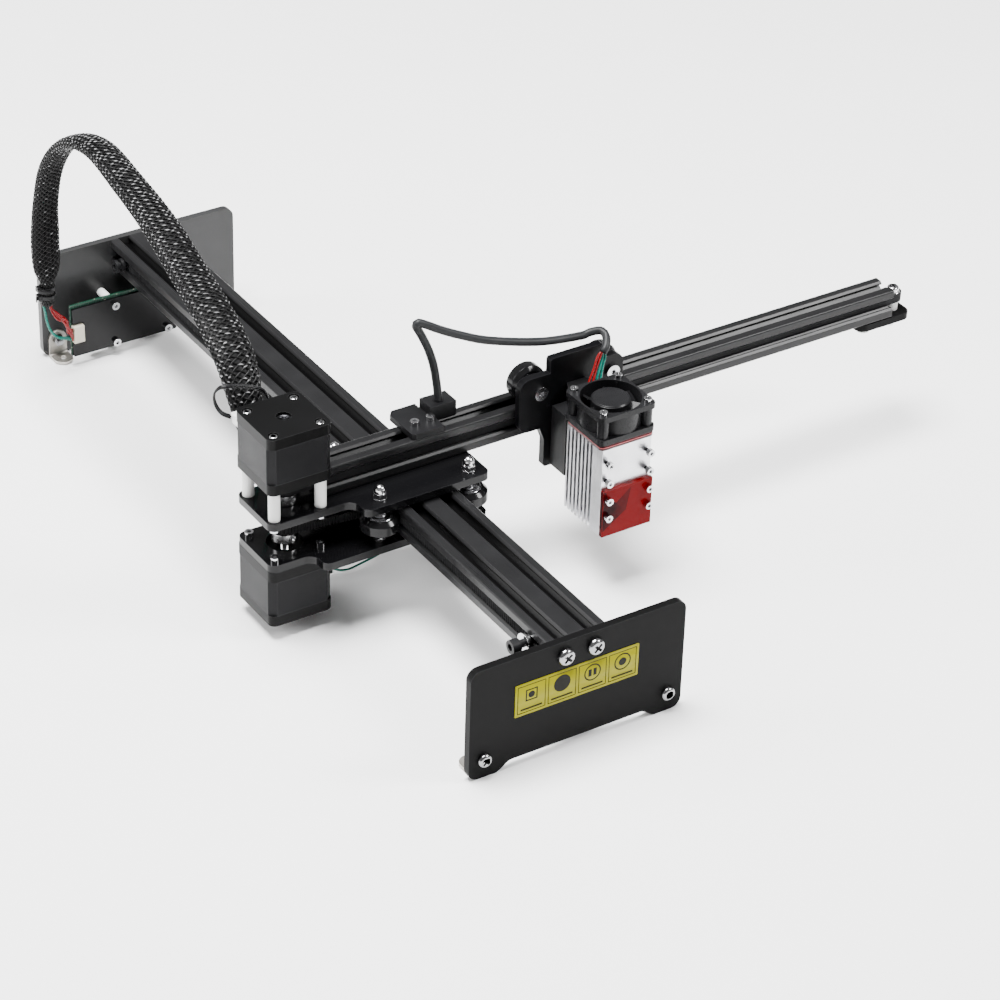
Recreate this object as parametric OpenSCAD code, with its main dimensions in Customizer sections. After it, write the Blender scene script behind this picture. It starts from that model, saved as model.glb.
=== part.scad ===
// Open-frame cantilever laser cutter: one base rail, one moving arm, one laser head.
// X runs along the arm, Y along the base rail, Z up. The origin is the centre of
// the rectangle of the four foot holes, at floor level.

/* [Base] */
// Length of the base rail between the end plates
rail_len = 530; // [400:1:700]
// Width of the end plates
plate_w = 145; // [140:1:180]
// Thickness of the end plates
plate_t = 5; // [3:0.5:6]
// Distance of the foot brackets from the middle plane
foot_x = 62.5; // [50:0.5:64]
// Length of the foot of each bracket
foot_len = 16; // [14:0.5:22]
// Distance of the foot hole from the end plate
foot_hole = 9; // [8:0.5:10]

/* [Arm] */
// Position of the Y carriage along the base rail
carriage_y = -75; // [-200:0.5:190]
// Length of the arm
arm_len = 420; // [300:1:500]
// Height of the arm's underside above the floor
arm_z = 82; // [82:0.5:82]

/* [Laser head] */
// Position of the laser head along the arm
head_x = 113.3; // [75:0.1:310]
// Width of the laser heatsink
sink_w = 35.4; // [34:0.2:36]
// Height of the laser heatsink
sink_h = 60.4; // [56:0.2:62]
// Number of grooves on each side of the heatsink
sink_grooves = 7; // [4:1:8]
// Number of fan blades
fan_blades = 7; // [5:1:9]

/* [Wheels and drive] */
// Outer diameter of the V wheels
wheel_d = 24; // [23:0.1:24]
// Outer diameter of the toothed part of the pulleys
pulley_d = 12.2; // [11:0.1:12.2]
// Thickness of the belts
belt_t = 1.2; // [1:0.1:1.2]
// Width of the belts
belt_w = 6; // [5:0.1:6]
// Height of the motor bodies
motor_h = 38; // [34:1:40]

/* [Hidden] */
$fn = 48;
e = 0.01;
rail_z = 65;                       // centre height of the base rail
half = rail_len / 2;
arm_x0 = -58;
arm_x1 = arm_x0 + arm_len;
arm_cz = arm_z + 10;               // centre height of the arm
wx = 30.7;                         // Y wheels: distance from the rail's middle
wy = 26.5;                         // Y wheels: distance from the carriage's middle
wr = wheel_d / 2;
motor_x = -80;
hole = 15.5;                       // half the motor's hole spacing
xw = 26;                           // upper X wheels: distance from the head's middle
xwz = arm_z + 30.7;                // height of the upper X wheels
xwz2 = arm_z - 10.7;               // height of the lower X wheel
lz = 39.4;                         // underside of the heatsink
ly0 = -72.5;                         // front face of the heatsink, from the arm's middle
ly1 = -34;                         // back face of the heatsink
lyc = -53;                         // fan centre, from the arm's middle
idler_x = arm_x1 + 7;
pr = pulley_d / 2 + 0.3 + belt_t / 2;   // belt middle line round a pulley
ir = 4.1 + 0.3 + belt_t / 2;            // belt middle line round the idler

// ---------- shared shapes ----------
module rr(x0, y0, x1, y1, r) {
  translate([x0 + r, y0]) square([x1 - x0 - 2 * r, y1 - y0]);
  translate([x0, y0 + r]) square([x1 - x0, y1 - y0 - 2 * r]);
  for (x = [x0 + r, x1 - r], y = [y0 + r, y1 - r]) translate([x, y]) circle(r);
}
module slot() {                     // V slot opening at y = 0, going down
  polygon([[-4.62, 0.02], [-3.15, -1.45], [-3.15, -2.1], [-5.5, -2.1], [-5.5, -3.4],
    [-2.8, -6.1], [2.8, -6.1], [5.5, -3.4], [5.5, -2.1], [3.15, -2.1], [3.15, -1.45], [4.62, 0.02]]);
}
module profile20() difference() {
  rr(-10, -10, 10, 10, 1.5);
  for (a = [0, 90, 180, 270]) rotate(a) translate([0, 10]) slot();
  circle(2.1);
}
module profile40() difference() {
  rr(-20, -10, 20, 10, 1.5);
  for (x = [-10, 10]) {
    translate([x, 10]) slot();
    translate([x, -10]) rotate(180) slot();
    translate([x, 0]) circle(2.1);
  }
  translate([20, 0]) rotate(-90) slot();
  translate([-20, 0]) rotate(90) slot();
  polygon([[-6.1, -2.8], [-6.1, 2.8], [-3, 5.9], [-3, 8.2], [3, 8.2], [3, 5.9],
    [6.1, 2.8], [6.1, -2.8], [3, -5.9], [3, -8.2], [-3, -8.2], [-3, -5.9]]);
}
// pan head screw, head above z = 0, shank below, cross recess
module pan_screw(hd, hh, d, l) {
  difference() {
    rotate_extrude() polygon(concat([[0, 0], [hd / 2, 0]],
      [for (a = [0:15:90]) [hd * (0.3 + 0.2 * cos(a)), hh * (0.25 + 0.75 * sin(a))]], [[0, hh]]));
    for (a = [0, 90]) rotate(a) translate([-hd * 0.29, -hd * 0.075, hh * 0.3]) cube([hd * 0.58, hd * 0.15, hh]);
  }
  translate([0, 0, -l]) cylinder(d = d, h = l + e);
}
// socket head screw, head above z = 0
module cap_screw(hd, hh, d, l) {
  difference() {
    cylinder(d = hd, h = hh);
    translate([0, 0, hh * 0.45]) cylinder(d = hd * 0.52, h = hh, $fn = 6);
  }
  translate([0, 0, -l]) cylinder(d = d, h = l + e);
}
module hex_nut(af, h, d) difference() {
  cylinder(d = af / cos(30), h = h, $fn = 6);
  translate([0, 0, -1]) cylinder(d = d, h = h + 2);
}
// slot nut, slot along X, sitting below a surface at z = 0
module t_nut(d = 5.1) difference() {
  translate([-5, 0, 0]) rotate([90, 0, 90]) linear_extrude(10)
    polygon([[-5, -2.3], [5, -2.3], [5, -3.3], [2.9, -5.4], [-2.9, -5.4], [-5, -3.3]]);
  translate([0, 0, -8]) cylinder(d = d, h = 8);
}
module clamp_nut() difference() {      // long slot nut with two threads
  translate([-9.5, 0, 0]) rotate([90, 0, 90]) linear_extrude(19)
    polygon([[-5, -2.3], [5, -2.3], [5, -3.3], [2.9, -5.4], [-2.9, -5.4], [-5, -3.3]]);
  for (x = [-5.5, 5.5]) translate([x, 0, -8]) cylinder(d = 3.1, h = 8);
}
module v_wheel() rotate_extrude()
  polygon([[8.05, -5.5], [wr - 2.55, -5.5], [wr, -2.95], [wr, 2.95], [wr - 2.55, 5.5],
    [8.05, 5.5], [8.05, 0.5], [7, 0.5], [7, -0.5], [8.05, -0.5]]);
module bearing(z) translate([0, 0, z]) rotate_extrude()
  polygon([[2.55, 0], [3.9, 0], [4.1, 0.4], [6.7, 0.4], [6.9, 0], [8, 0], [8, 5],
    [6.9, 5], [6.7, 4.6], [4.1, 4.6], [3.9, 5], [2.55, 5]]);
module tube(ri, ro, z, h) translate([0, 0, z]) difference() {
  cylinder(r = ro, h = h);
  translate([0, 0, -1]) cylinder(r = ri, h = h + 2);
}
module chamfer_square(s, c) polygon([[-s / 2 + c, -s / 2], [s / 2 - c, -s / 2], [s / 2, -s / 2 + c],
  [s / 2, s / 2 - c], [s / 2 - c, s / 2], [-s / 2 + c, s / 2], [-s / 2, s / 2 - c], [-s / 2, -s / 2 + c]]);

// swept tube through points p with half widths w (across) and h (thick)
function unit(a) = a / norm(a);
function dir(p, i) = unit(p[min(i + 1, len(p) - 1)] - p[max(i - 1, 0)]);
function side(t, up) = unit(cross(t, up));
function ring(c, t, up, w, h, n) = let (s = side(t, up), u = cross(s, t))
  [for (k = [0:n - 1]) c + s * w * cos(360 * k / n) + u * h * sin(360 * k / n)];
// points on a smooth curve through the route
function cr(p0, p1, p2, p3, t) = 0.5 * ((2 * p1) + (p2 - p0) * t + (2 * p0 - 5 * p1 + 4 * p2 - p3) * t * t
  + (3 * p1 - p0 - 3 * p2 + p3) * t * t * t);
function smooth(p, k) = [for (i = [0:len(p) - 2], j = [0:k - 1])
  cr(p[max(i - 1, 0)], p[i], p[i + 1], p[min(i + 2, len(p) - 1)], j / k), p[len(p) - 1]];
module sweep(p, w, h, up = [1, 0.05, 0.02], n = 8) {
  m = len(p);
  pts = [for (i = [0:m - 1]) each ring(p[i], dir(p, i), up, is_list(w) ? w[i] : w, is_list(h) ? h[i] : h, n)];
  faces = concat([[for (k = [0:n - 1]) n - 1 - k]],
    [for (i = [0:m - 2], k = [0:n - 1]) [i * n + k, i * n + (k + 1) % n, (i + 1) * n + (k + 1) % n, (i + 1) * n + k]],
    [[for (k = [0:n - 1]) (m - 1) * n + k]]);
  polyhedron(pts, faces, convexity = 6);
}

// ---------- base ----------
function wave(x0, x1, z0, z1) = [for (i = [0:10]) [x0 + (x1 - x0) * i / 10, z0 + (z1 - z0) * (1 - cos(18 * i)) / 2]];
module base_rail() color("#1c1c1e") translate([0, half, rail_z]) rotate([90, 0, 0]) linear_extrude(rail_len) profile40();
module end_plate(board) rotate([90, 0, 0]) linear_extrude(plate_t) difference() {
  rr(-plate_w / 2, 0, plate_w / 2, 75, 6.5);
  polygon(concat([[-55, -1]], wave(-55, -43.5, 0, 5.5), wave(44, 55, 5.5, 0), [[55, -1]]));
  for (x = [-10, 10]) translate([x, rail_z]) circle(2.7);
  for (x = [-foot_x, foot_x]) translate([x, 12.5]) circle(2.2);
  if (board) for (x = [-28.5, 10], z = [10, 38]) translate([x, z]) circle(1.6);
}
module front_plate() color("#222224") translate([0, -half, 0]) end_plate(false);
module rear_plate() color("#2a2a2c") translate([0, half + plate_t, 0]) end_plate(true);
module rail_end_screws() color("#d8d8da") for (m = [0, 1]) mirror([0, m, 0])
  for (x = [-10, 10]) translate([x, -half - plate_t, rail_z]) rotate([90, 45, 0]) pan_screw(11, 3.6, 4.1, 22);
module foot_brackets() color("#a9a9a4") for (m = [0, 1]) mirror([0, m, 0]) for (x = [-foot_x, foot_x])
  translate([x, half, 0]) {
    difference() {
      union() {
        translate([-6.5, -foot_hole, 0]) cube([13, foot_hole - 2, 2]);
        translate([0, -foot_hole, 0]) cylinder(r = 6.5, h = 2);
        translate([-6.5, -4, 0]) cube([13, 4, 4]);
        translate([-6.5, -2, 0]) cube([13, 2, 12.5]);
        translate([0, 0, 12.5]) rotate([90, 0, 0]) cylinder(r = 6.5, h = 2);
      }
      translate([0, -foot_hole, -1]) cylinder(d = 4.5, h = 8);
      translate([-7, -4, 4]) rotate([0, 90, 0]) cylinder(r = 2, h = 14);
      translate([0, 1, 12.5]) rotate([90, 0, 0]) cylinder(d = 4.5, h = 4);
    }
  }
module foot_screws() color("#cfcfd2") for (m = [0, 1]) mirror([0, m, 0]) for (x = [-foot_x, foot_x])
  translate([x, -half - plate_t, 12.5]) rotate([90, 45, 0]) pan_screw(9, 3.1, 4, 12);
module foot_nuts() color("#b5b5b8") for (m = [0, 1]) mirror([0, m, 0]) for (x = [-foot_x, foot_x])
  translate([x, -half + 2, 12.5]) rotate([-90, 0, 0]) hex_nut(7, 3.2, 4.06);
module foot_fasteners() { foot_screws(); foot_nuts(); }
module front_label() color("#e0cf3a") translate([-1.25, -half - plate_t, 45]) rotate([90, 0, 0])
  linear_extrude(0.4) rr(-41.75, -11, 41.75, 11, 0.8);

// ---------- control board on the rear plate ----------
by = half - 20;                     // front of the board's cover
module board_holes(d) for (x = [-28.5, 10], z = [10, 38]) translate([x, z]) circle(d = d);
module control_board() color("#1f5a3c") translate([0, by + 3.6, 0]) rotate([90, 0, 0]) linear_extrude(1.6)
  difference() { rr(-60.4, 7, 17, 44.8, 1); board_holes(3.2); }
module board_cover() color("#18181a") translate([0, by + 2, 0]) rotate([90, 0, 0]) linear_extrude(2)
  difference() { rr(-59.6, 7, 17, 42.6, 1); board_holes(3.2); translate([-61, 17.5]) square([9.2, 14]); }
module board_components() { board_parts(); board_connector(); }
module board_parts() color("#303236") {
  translate([-18, by + 3.6, 14]) cube([18, 4, 18]);
  translate([-46, by + 3.6, 26]) cube([14, 6, 14]);
  translate([-46, by + 3.6, 10]) cube([14, 6, 13]);
  translate([-7, by + 7.6, 41]) rotate([90, 0, 0]) cylinder(d = 6, h = 4);
  difference() {                    // power inlet
    translate([2, by + 3.6, 16]) cube([15, 11, 9]);
    translate([10, by + 9.1, 20.5]) rotate([0, 90, 0]) cylinder(d = 6, h = 10);
  }
  difference() {                    // data inlet
    translate([4, by + 3.6, 26.3]) cube([13, 4.5, 7.4]);
    translate([9, by + 4.6, 27.3]) cube([10, 2.5, 5.4]);
  }
}
module board_connector() color("#efece0") difference() {
  translate([-59.8, by - 2.7, 18.4]) cube([7.4, 4.7, 12.2]);
  translate([-61, by - 1.7, 19.6]) cube([6.6, 2.8, 9.8]);
}
module board_standoffs() color("#f0eee8") for (x = [-28.5, 10], z = [10, 38])
  translate([x, half, z]) rotate([90, 0, 0]) tube(1.55, 3, 0, 16.4);
module board_screws() color("#d0d0d4") for (x = [-28.5, 10], z = [10, 38]) {
  translate([x, by, z]) rotate([90, 0, 0]) cap_screw(5.5, 2.4, 3, 8);
  translate([x, half + plate_t, z]) rotate([-90, 0, 0]) cap_screw(5.5, 2, 3, 10);
}
red_route = [[-73.4, 249, 49.6], [-73.1, 248.6, 46.2], [-70, 245, 41.5], [-66.4, 242.6, 36.5], [-63.9, 242.4, 31], [-62.1, 243.6, 24.6]];
green_route = [[-77.6, 250, 49.6], [-77.5, 249.7, 46], [-76.6, 248.2, 39], [-75.2, 246.2, 31], [-71.5, 244.8, 26], [-66.5, 244.2, 24], [-62.4, 244, 22.4]];
module board_wires() color("#b02024") {
  sweep(red_route, [2, 2.2, 3, 3.2, 3, 2.2], [2, 2.2, 3, 3.2, 3, 2.2]);
  sweep(green_route, 1.3, 1.3);
}
// ---------- braided sleeve from the board to the moving carriage ----------
sleeve_route = [[-75, 249.5, 50.2], [-75, 249.3, 54], [-75, 248.8, 66], [-75, 248, 78], [-76, 246, 100],
  [-77, 240, 132], [-77.5, 226, 165], [-76.5, 200, 192], [-75, 165, 203], [-74.5, 125, 196.5], [-74.5, 85, 187],
  [-76, 45, 173.5], [-79, 8, 163], [-81, -18, 150], [-82.5, -33, 132], [-82, -38, 112]];
sleeve_w = [4.4, 4.3, 4.3, 9, 10, 8.8, 8.7, 9, 10, 11, 12, 12.5, 13, 13, 11.5, 8];     // half width along X
sleeve_h = [4.3, 4.3, 4.3, 4.5, 4.5, 4.5, 4.5, 4, 4, 4, 4, 4, 4, 4, 4, 3.6];       // half thickness
module cable_sleeve() color("#26262a") sweep(sleeve_route, sleeve_h, sleeve_w);
module cable_ties() color("#101012") for (z = [55.5, 61.5]) translate([-75, 249.1, z]) difference() {
  union() { cylinder(r = 6.2, h = 2.6); translate([-9, -2, 0]) cube([5, 4, 2.6]); }
  translate([0, 0, -1]) cylinder(r = 4.7, h = 6);
}
// ---------- Y belt in the rail's left slot, looping out round the motor pulley ----------
bwr = wr + 0.4 + belt_t / 2;        // belt middle line round a wheel
bd = sqrt(pow(motor_x + wx, 2) + wy * wy);
bt = 180 - atan2(wy, -(motor_x + wx)) + asin((bwr + pr) / bd);   // heading of the slanted run
function arc(c, r, a0, a1, n) = [for (i = [0:n]) let (a = a0 + (a1 - a0) * i / n) [c[0] + r * cos(a), c[1] + r * sin(a)]];
// one side of the belt, o outwards from its middle line (to the right of the way it runs, front to rear)
function y_side(o) = concat(
  [[-wx + bwr + o, -half + 23 - carriage_y]],
  arc([-wx, -wy], bwr + o, 0, bt - 90, 14),
  arc([motor_x, 0], pr - o, bt + 90, 270 - bt, 26),
  arc([-wx, wy], bwr + o, 90 - bt, 0, 14),
  [[-wx + bwr + o, half - 23 - carriage_y]]);
function rev(l) = [for (i = [len(l) - 1:-1:0]) l[i]];
module y_belt() color("#161618") translate([0, carriage_y, rail_z - belt_w / 2 + 0.1]) linear_extrude(belt_w - 0.2)
  polygon(concat(y_side(belt_t / 2), rev(y_side(-belt_t / 2))));
module y_belt_bolts() color("#1b1b1d") for (m = [0, 1]) mirror([0, m, 0]) translate([0, -half + 17.4, rail_z]) {
  translate([m ? -24 : -27, 0, 0]) rotate([0, -90, 0]) cap_screw(8.6, m ? 2.2 : 5.5, 4.8, m ? 9 : 12);
  if (m == 0) translate([-23.8, 0, 0]) rotate([0, 90, 0]) tube(2.45, 6, 0, 1.6);
  translate([-22.1, 0, 0]) rotate([0, 90, 0]) tube(2.45, 4.4, 0, 2);
}
module y_belt_fixings() { y_belt_bolts(); y_belt_nuts(); }
module y_belt_nuts() color("#9c9ca0") for (m = [0, 1]) mirror([0, m, 0]) translate([-20, -half + 17.4, rail_z])
  rotate([0, -90, 0]) rotate(90) t_nut(4.9);

// ---------- Y carriage (drawn round its own middle) ----------
module at_carriage() translate([0, carriage_y, 0]) children();
module plate_outline(lobe_x, lobe_y, right_x) difference() {
  union() {
    rr(-101, -21, -40, 21, 5);
    rr(lobe_x, -lobe_y, right_x, lobe_y, 5);
    for (m = [0, 1]) mirror([0, m]) translate([lobe_x, 20]) difference() {
      translate([-7, 0]) square([8, 8]);
      translate([-7, 8]) circle(7);
    }
  }
  for (x = [-wx, wx], y = [-wy, wy]) translate([x, y]) circle(d = 5.2);
  for (x = [-hole, hole], y = [-hole, hole]) translate([motor_x + x, y]) circle(d = 3.3);
}
module top_plate() color("#141416") at_carriage() translate([0, 0, arm_z - 5]) linear_extrude(5) difference() {
  plate_outline(-45, 35.5, 41.2);
  translate([motor_x, 0]) circle(d = 9);
  for (x = [-48, 34]) translate([x, 0]) circle(d = 5.2);
}
module bottom_plate() color("#141416") at_carriage() translate([0, 0, 48]) linear_extrude(5) difference() {
  plate_outline(-72, 34.5, 41.2);
  translate([motor_x, 0]) circle(d = 22.4);
}
module wheel_axles() color("#c9c9cc") at_carriage() for (x = [-wx, wx], y = [-wy, wy]) translate([x, y, 48]) mirror([0, 0, 1])
  difference() {
    union() { cylinder(d = 9.4, h = 2.7); translate([0, 0, -39.5]) cylinder(d = 5, h = 40); }
    translate([0, 0, 1.2]) cylinder(d = 3.4, h = 4, $fn = 6);
  }
module wheel_spacers() color("#d9d9dc") at_carriage() for (x = [-wx, wx], y = [-wy, wy]) translate([x, y, 0]) {
  tube(2.55, 4, 53, 6.5);
  tube(2.55, 4, 70.5, 6.5);
}
module wheel_bearings() color("#b9bcc0") at_carriage() for (x = [-wx, wx], y = [-wy, wy]) translate([x, y, rail_z]) {
  bearing(-5.5);
  bearing(0.5);
}
module acorn_nuts() color("#e2e2e4") at_carriage() for (x = [-wx, wx], y = [-wy, wy]) translate([x, y, arm_z]) difference() {
  union() {
    cylinder(d = 8.8, h = 0.8);
    cylinder(d = 7.5 / cos(30), h = 4.2, $fn = 6);
    cylinder(r = 3.4, h = 6);
    translate([0, 0, 6]) sphere(r = 3.4);
  }
  translate([0, 0, -1]) cylinder(d = 5.05, h = 7.4);
}
module y_wheel(x, y) color("#232325") at_carriage() translate([x, y, rail_z]) v_wheel();
module arm_rail() color("#1c1c1e") at_carriage() translate([arm_x0, 0, arm_cz]) rotate([90, 0, 90]) linear_extrude(arm_len) profile20();
module arm_fixings() color("#8f8f94") at_carriage() {
  for (x = [-48, 34]) translate([x, 0, arm_z - 5]) mirror([0, 0, 1]) cap_screw(9.2, 2.6, 5, 10);
  for (x = [-48, 34, idler_x - 22]) translate([x, 0, arm_z]) mirror([0, 0, 1]) t_nut();
  for (x = [9, 20]) translate([x, 0, arm_z + 24]) cap_screw(5.5, 3, 3, 9);
  translate([14.5, 0, arm_z + 20]) clamp_nut();
}
// ---------- motors ----------
// body, caps and the rest are drawn with the mounting face at z = 0, body above
module motor_body() difference() {
  translate([0, 0, 7]) linear_extrude(motor_h - 14) chamfer_square(42.3, 4.2);
  translate([0, 0, 6]) cylinder(d = 27, h = motor_h);
  for (x = [-hole, hole], y = [-hole, hole]) translate([x, y, 0]) cylinder(d = 3.2, h = motor_h);
}
module end_caps() {
  difference() {
    union() {
      linear_extrude(7) rr(-21.15, -21.15, 21.15, 21.15, 4.5);
      translate([0, 0, -2]) cylinder(d = 22, h = 3);
    }
    translate([0, 0, -3]) cylinder(d = 10, h = 20);
    translate([0, 0, 1.8]) cylinder(d = 16.05, h = 20);
    for (x = [-hole, hole], y = [-hole, hole]) translate([x, y, -1]) cylinder(d = 3.2, h = 9);
  }
  difference() {
    translate([0, 0, motor_h - 7]) linear_extrude(7) rr(-21.15, -21.15, 21.15, 21.15, 4.5);
    translate([0, 0, motor_h - 8]) cylinder(d = 16.05, h = 6.1);
    translate([0, 0, motor_h - 8]) cylinder(d = 9, h = 20);
    for (x = [-hole, hole], y = [-hole, hole]) translate([x, y, motor_h - 8]) {
      cylinder(d = 3.2, h = 9);
      translate([0, 0, 6.2]) cylinder(d = 6.4, h = 9);
    }
  }
}
module motor_brgs() for (z = [1.9, motor_h - 7]) translate([0, 0, z]) difference() {
  cylinder(d = 16, h = 5);
  translate([0, 0, -1]) cylinder(d = 5.06, h = 7);
}
module rotor() {
  cylinder(d = 26, h = motor_h - 21);
  translate([0, 0, -32]) cylinder(d = 5, h = motor_h + 7);
}
module x_motor_at() at_carriage() translate([motor_x, 0, arm_z + 20]) children();
module y_motor_at() at_carriage() translate([motor_x, 0, 48]) mirror([0, 0, 1]) children();
module motor_bodies() color("#242426") { x_motor_at() motor_body(); y_motor_at() motor_body(); }
module motor_caps() color("#1a1a1c") { x_motor_at() end_caps(); y_motor_at() end_caps(); }
module motor_bearings() color("#b9bcc0") { x_motor_at() motor_brgs(); y_motor_at() motor_brgs(); }
module motor_fixings() color("#d5d5d8") {
  // long screws that hold each motor together
  for (x = [-hole, hole], y = [-hole, hole]) {
    x_motor_at() translate([x, y, motor_h - 1.8]) pan_screw(5.8, 1.6, 2.9, motor_h - 8);
    y_motor_at() translate([x, y, motor_h - 1.8]) pan_screw(5.8, 1.6, 2.9, motor_h - 8);
    // screws up through the top plate into the standoffs
    at_carriage() translate([motor_x + x, y, arm_z - 5]) mirror([0, 0, 1]) cap_screw(5.5, 3, 2.9, 12);
    // screws down through the bottom plate into the lower motor
    at_carriage() translate([motor_x + x, y, 53]) cap_screw(5.5, 3, 2.9, 9);
  }
}
module motor_standoffs() color("#f2f0ea") at_carriage() for (x = [-hole, hole], y = [-hole, hole])
  translate([motor_x + x, y, arm_z]) {
    tube(1.5, 3.6, 0, 10);
    translate([0, 0, 10 - e]) cylinder(r = 3.6, h = 10 + e);
    translate([0, 0, 20 - e]) cylinder(d = 3, h = 3.8);
  }
module x_rotor() color("#77777c") x_motor_at() {
  translate([0, 0, 10.5]) cylinder(d = 26, h = motor_h - 21);
  translate([0, 0, -21]) cylinder(d = 5, h = motor_h + 18.5);
}
module y_rotor() color("#77777c") y_motor_at() {
  translate([0, 0, 10.5]) cylinder(d = 26, h = motor_h - 21);
  translate([0, 0, -22.5]) cylinder(d = 5, h = motor_h + 20);
}
// pulley with its hub below: tooth zone starts at z = 0
module pulley(hub, zone) difference() {
  union() {
    translate([0, 0, -hub]) cylinder(d = 16, h = hub);
    difference() {
      cylinder(d = pulley_d, h = zone);
      for (i = [0:19]) rotate(i * 18) translate([pulley_d / 2, 0, -1]) cylinder(d = 1.1, h = zone + 2, $fn = 16);
    }
    translate([0, 0, zone]) cylinder(d = 16, h = 1.1);
  }
  translate([0, 0, -hub - 1]) cylinder(d = 5.1, h = hub + zone + 4);
  rotate(-75) translate([0, 0, -hub / 2]) rotate([0, 90, 0]) cylinder(d = 3, h = 9);
}
module grub(hub) rotate(-75) translate([2.7, 0, -hub / 2]) rotate([0, 90, 0]) difference() {
  cylinder(d = 2.9, h = 4.4);
  translate([0, 0, 2.6]) cylinder(d = 1.7, h = 3, $fn = 6);
}
module x_pulley() color("#c4c5c8") at_carriage() translate([motor_x, 0, 88.7]) { pulley(6.1, 7); grub(6.1); }
module y_pulley() color("#c4c5c8") at_carriage() translate([motor_x, 0, rail_z - 3.5]) { pulley(5.8, 7); grub(5.8); }
// upper motor: short leads from its plug to the sleeve; lower motor: green leads under the plate
lead_a = [[-79.5, -44.4, 113], [-76, -46, 124], [-74.6, -46.8, 134], [-77.5, -46.2, 141], [-84, -45.2, 144.6],
  [-91.2, -44, 147], [-98.8, -43, 148.6], [-103.6, -41, 147.8], [-105.9, -39.4, 143.4], [-105.5, -39.8, 137],
  [-103.2, -42.5, 131.8], [-98.5, -45.7, 129]];
lead_b = [[-55.6, -86, 33], [-51, -89, 30.5], [-44.6, -90, 29.7], [-36, -90, 31], [-26, -90, 33], [-14, -89, 36], [-6, -84, 40],
  [-6, -74, 43], [-16, -64, 44], [-32, -57, 43.5], [-46, -49, 43.5], [-56, -41, 45], [-61, -37.6, 54], [-68, -37.8, 72],
  [-76, -38, 92], [-81, -38.3, 110]];
module motor_leads() color("#1b6b52") {
  sweep(lead_a, 1.3, 1.3, up = [0.1, 1, 0.1]);
  sweep(lead_b, 1.3, 1.3, up = [0.35, 0.3, 1]);
  translate([-99, -53.84, 125.5]) cube([15, 8, 7]);
  translate([-58.84, -91, 29.5]) cube([3, 10, 7]);
}
// ---------- X belt and idler ----------
bphi = acos((pr - ir) / (idler_x - motor_x));
module loop2d(o) polygon(concat(arc([motor_x, 0], pr + o, bphi, 360 - bphi, 40), arc([idler_x, 0], ir + o, -bphi, bphi, 32)));
module x_belt() color("#161618") at_carriage() translate([0, 0, arm_cz - belt_w / 2]) linear_extrude(belt_w)
  difference() { loop2d(belt_t / 2); loop2d(-belt_t / 2); }
module idler_bracket() color("#141416") at_carriage() translate([0, 0, arm_z - 5]) linear_extrude(5) difference() {
  rr(arm_x1 - 25, -10, idler_x + 9, 10, 6);
  translate([idler_x, 0]) circle(d = 5.2);
  translate([idler_x - 22, 0]) circle(d = 5.2);
}
module idler_fixings() color("#dcdcde") at_carriage() {
  translate([idler_x, 0, 0]) {
    tube(2.55, 4, arm_z, 6.4);                                   // white spacer
    translate([0, 0, 96.2]) pan_screw(8, 2.4, 4.9, 26);          // idler bolt
    tube(2.55, 4.4, 95.3, 0.9);                                  // washer
    translate([0, 0, arm_z - 9]) hex_nut(8, 4, 5);
  }
  translate([idler_x - 22, 0, arm_z - 5]) mirror([0, 0, 1]) { cap_screw(8.5, 5, 5, 10); }
}
module idler_pulley() color("#c4c5c8") at_carriage() translate([idler_x, 0, arm_cz - 3.5]) rotate_extrude()
  polygon([[2.53, 0], [5, 0], [5, 0.4], [4.1, 0.5], [4.1, 6.5], [5, 6.6], [5, 6.7], [2.53, 6.7]]);
// ---------- cable clamp on the arm ----------
module cable_clamp() at_carriage() color("#202022") difference() {
    union() {
      translate([0, 0, arm_z + 20]) linear_extrude(4) polygon([[5, 20.5], [21.5, 20.5], [21.5, 16], [40, 16], [40, 3], [24, 3],
        [24, -10], [4, -10], [2, -8], [2, 17]]);
      translate([22, 3, arm_z + 20]) cube([18, 13, 10]);
    }
    translate([30.5, 8.5, arm_z + 14]) cylinder(d = 5.4, h = 30);
    for (x = [9, 20]) translate([x, 0, arm_z + 14]) cylinder(d = 3.4, h = 16);
  }
// ---------- X carriage (drawn round its own middle) ----------
module at_head() translate([head_x, carriage_y, 0]) children();
module x_carriage_plate() color("#19191b") at_head() {
  difference() {
    translate([0, -11, 0]) rotate([90, 0, 0]) linear_extrude(5) difference() {
      union() {
        rr(-40.3, arm_z + 5, 34.2, arm_z + 42, 7);
        rr(-19, arm_z + 6, 19.4, arm_z + 52, 2);
        rr(-21.8, 58.5, 21.7, arm_z + 12, 2);
        polygon([[-25.5, arm_z + 5.5], [-21.8, arm_z - 4], [21.7, arm_z - 4], [25.5, arm_z + 5.5]]);
      }
      for (x = [-xw, xw]) translate([x, xwz]) circle(d = 5.2);
      translate([0, xwz2]) circle(d = 5.2);
      for (z = [63, 102]) translate([0, z]) circle(d = 3.3);
      for (x = [-7.5, 7.5]) translate([x, arm_cz]) circle(d = 2.7);
    }
    translate([0, -14, xwz2]) rotate([90, 0, 0]) cylinder(d = 10, h = 4);
  }
  difference() {                    // grip that reaches into the arm's front slot and holds the belt
    translate([-11, -11.02, arm_cz - 2.5]) cube([22, 3.6, 5]);
    for (x = [-7.5, 7.5]) translate([x, -6, arm_cz]) rotate([90, 0, 0]) cylinder(d = 2.7, h = 9);
  }
}
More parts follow.
